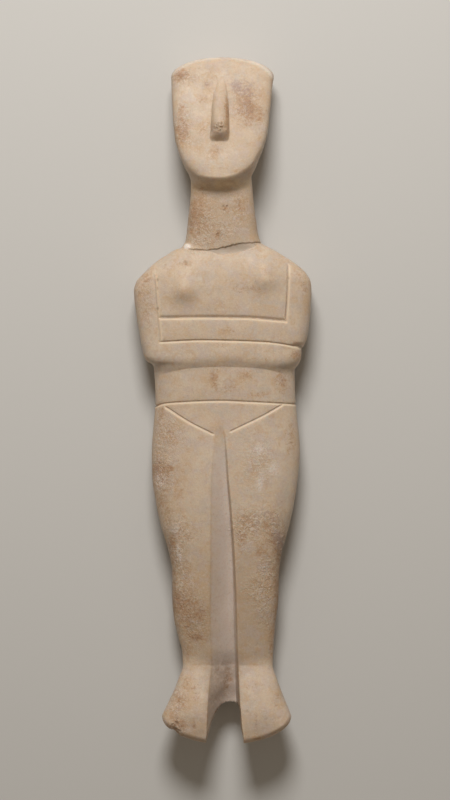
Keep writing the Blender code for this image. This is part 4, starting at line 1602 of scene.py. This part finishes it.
# Earth, with the painted shade it carries, is laid on in clouds. Roughness follows clouds of its own, and
# worn places are rougher
EARTH_CLOUDS = (0.003, 4, 0.6, 0.3, 21.0)
EARTH_BAND = (0.3, 0.62, 0.45, 0.9)
EARTH_MOST = 0.7
ROUGH_CLOUDS = (0.006, 4, 0.6, 0.0, 25.0)
ROUGH_BAND = (0.3, 0.7, 0.50, 0.68)
WORN_ROUGHER = 0.12

# Grain that is finer than the mesh
GRAIN = (0.0010, 4, 0.6, 0.0, 29.0)
GRAIN_OF_VEINS = 0.4
GRAIN_OF_WEAR = 1.4
GRAIN_STRENGTH = 0.5
GRAIN_DEPTH = 0.00022


def aged_marble():
    """Warm marble with rusty and mauve stains, root marks, earth and painted shade in the corners, incised
    walls lightened by new stone and painted highlight, a painted highlight on the crown's rim and painted
    warm fill light under the chin.
    """
    material = bpy.data.materials.new("aged_marble")
    n = Nodes(material)
    n.shader.inputs["Subsurface Weight"].default_value = SUBSURFACE
    n.shader.inputs["Subsurface Radius"].default_value = SUBSURFACE_RADIUS
    n.shader.inputs["Subsurface Scale"].default_value = SUBSURFACE_DEPTH

    colour = n.clouds(IVORY, *CREAM_CLOUDS)
    colour = n.clouds(colour, *GREY_CLOUDS)
    for wash in FIRST_WASHES:
        colour = n.wash(colour, *wash)
    colour = n.clouds(colour, *PINK_CLOUDS)
    colour = n.stain(colour, *OCHRE_STAIN)
    colour = n.wash(colour, *CHANNEL_WASH)
    colour = n.clouds(colour, *DARK_SPECKLE)
    colour = n.clouds(colour, *PALE_SPECKLE)

    wiggles = n.noise(*WIGGLES)
    hollow = n.maths("MULTIPLY", n.band(wiggles, *HOLLOW_BAND), n.cover("worn"))
    crest = n.maths("MULTIPLY", n.band(wiggles, *CREST_BAND), n.cover("worn"))
    colour = n.over(colour, RUST, n.maths("MULTIPLY", hollow, HOLLOW_RUST))
    colour = n.over(colour, ROOT_WHITE, n.maths("MULTIPLY", crest, CREST_WHITE))
    for stain in STAINS:
        colour = n.stain(colour, *stain)
    colour = n.clouds(colour, *FROST_CLOUDS)

    vein = n.maths("ABSOLUTE", n.maths("SUBTRACT", n.noise(*VEINS), VEIN_MIDDLE))
    rooted = n.maths("MULTIPLY", n.band(vein, *VEIN_BAND), n.band(n.cover("roots"), *VEIN_COVER))
    colour = n.over(colour, ROOT_WHITE, n.maths("MULTIPLY", rooted, VEIN_WHITE))
    crumbs = n.band(n.noise(*CRUMBS), *CRUMB_BAND)
    crumbs = n.maths("MULTIPLY", crumbs, n.band(n.cover("roots"), *CRUMB_COVER))
    colour = n.over(colour, ROOT_WHITE, n.maths("MULTIPLY", crumbs, CRUMB_WHITE))

    # Lighter incised walls: new stone and painted highlight
    colour = n.wash(colour, *FRESH_AND_HIGHLIGHT_WASH)
    # Earth and painted shade
    earth = n.maths("MULTIPLY", n.cover("earth"), n.band(n.noise(*EARTH_CLOUDS), *EARTH_BAND))
    colour = n.over(colour, EARTH_AND_SHADE_BROWN, n.maths("MULTIPLY", earth, EARTH_MOST))
    for wash in LAST_WASHES:
        colour = n.wash(colour, *wash)
    n.tree.links.new(colour, n.shader.inputs["Base Color"])

    rough = n.band(n.noise(*ROUGH_CLOUDS), *ROUGH_BAND)
    rough = n.maths("ADD", rough, n.cover("worn", WORN_ROUGHER))
    n.tree.links.new(rough, n.shader.inputs["Roughness"])

    grain = n.maths("ADD", n.noise(*GRAIN), n.maths("MULTIPLY", rooted, GRAIN_OF_VEINS))
    wear = n.maths("MULTIPLY", n.maths("SUBTRACT", crest, hollow), GRAIN_OF_WEAR)
    bump = {"Height": n.maths("ADD", grain, wear), "Strength": GRAIN_STRENGTH, "Distance": GRAIN_DEPTH}
    relief = n.add("ShaderNodeBump", bump)
    n.tree.links.new(relief.outputs["Normal"], n.shader.inputs["Normal"])
    return material


paint_places(stone)
stone.data.materials.append(aged_marble())

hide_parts("figurine")
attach(stone, "root")
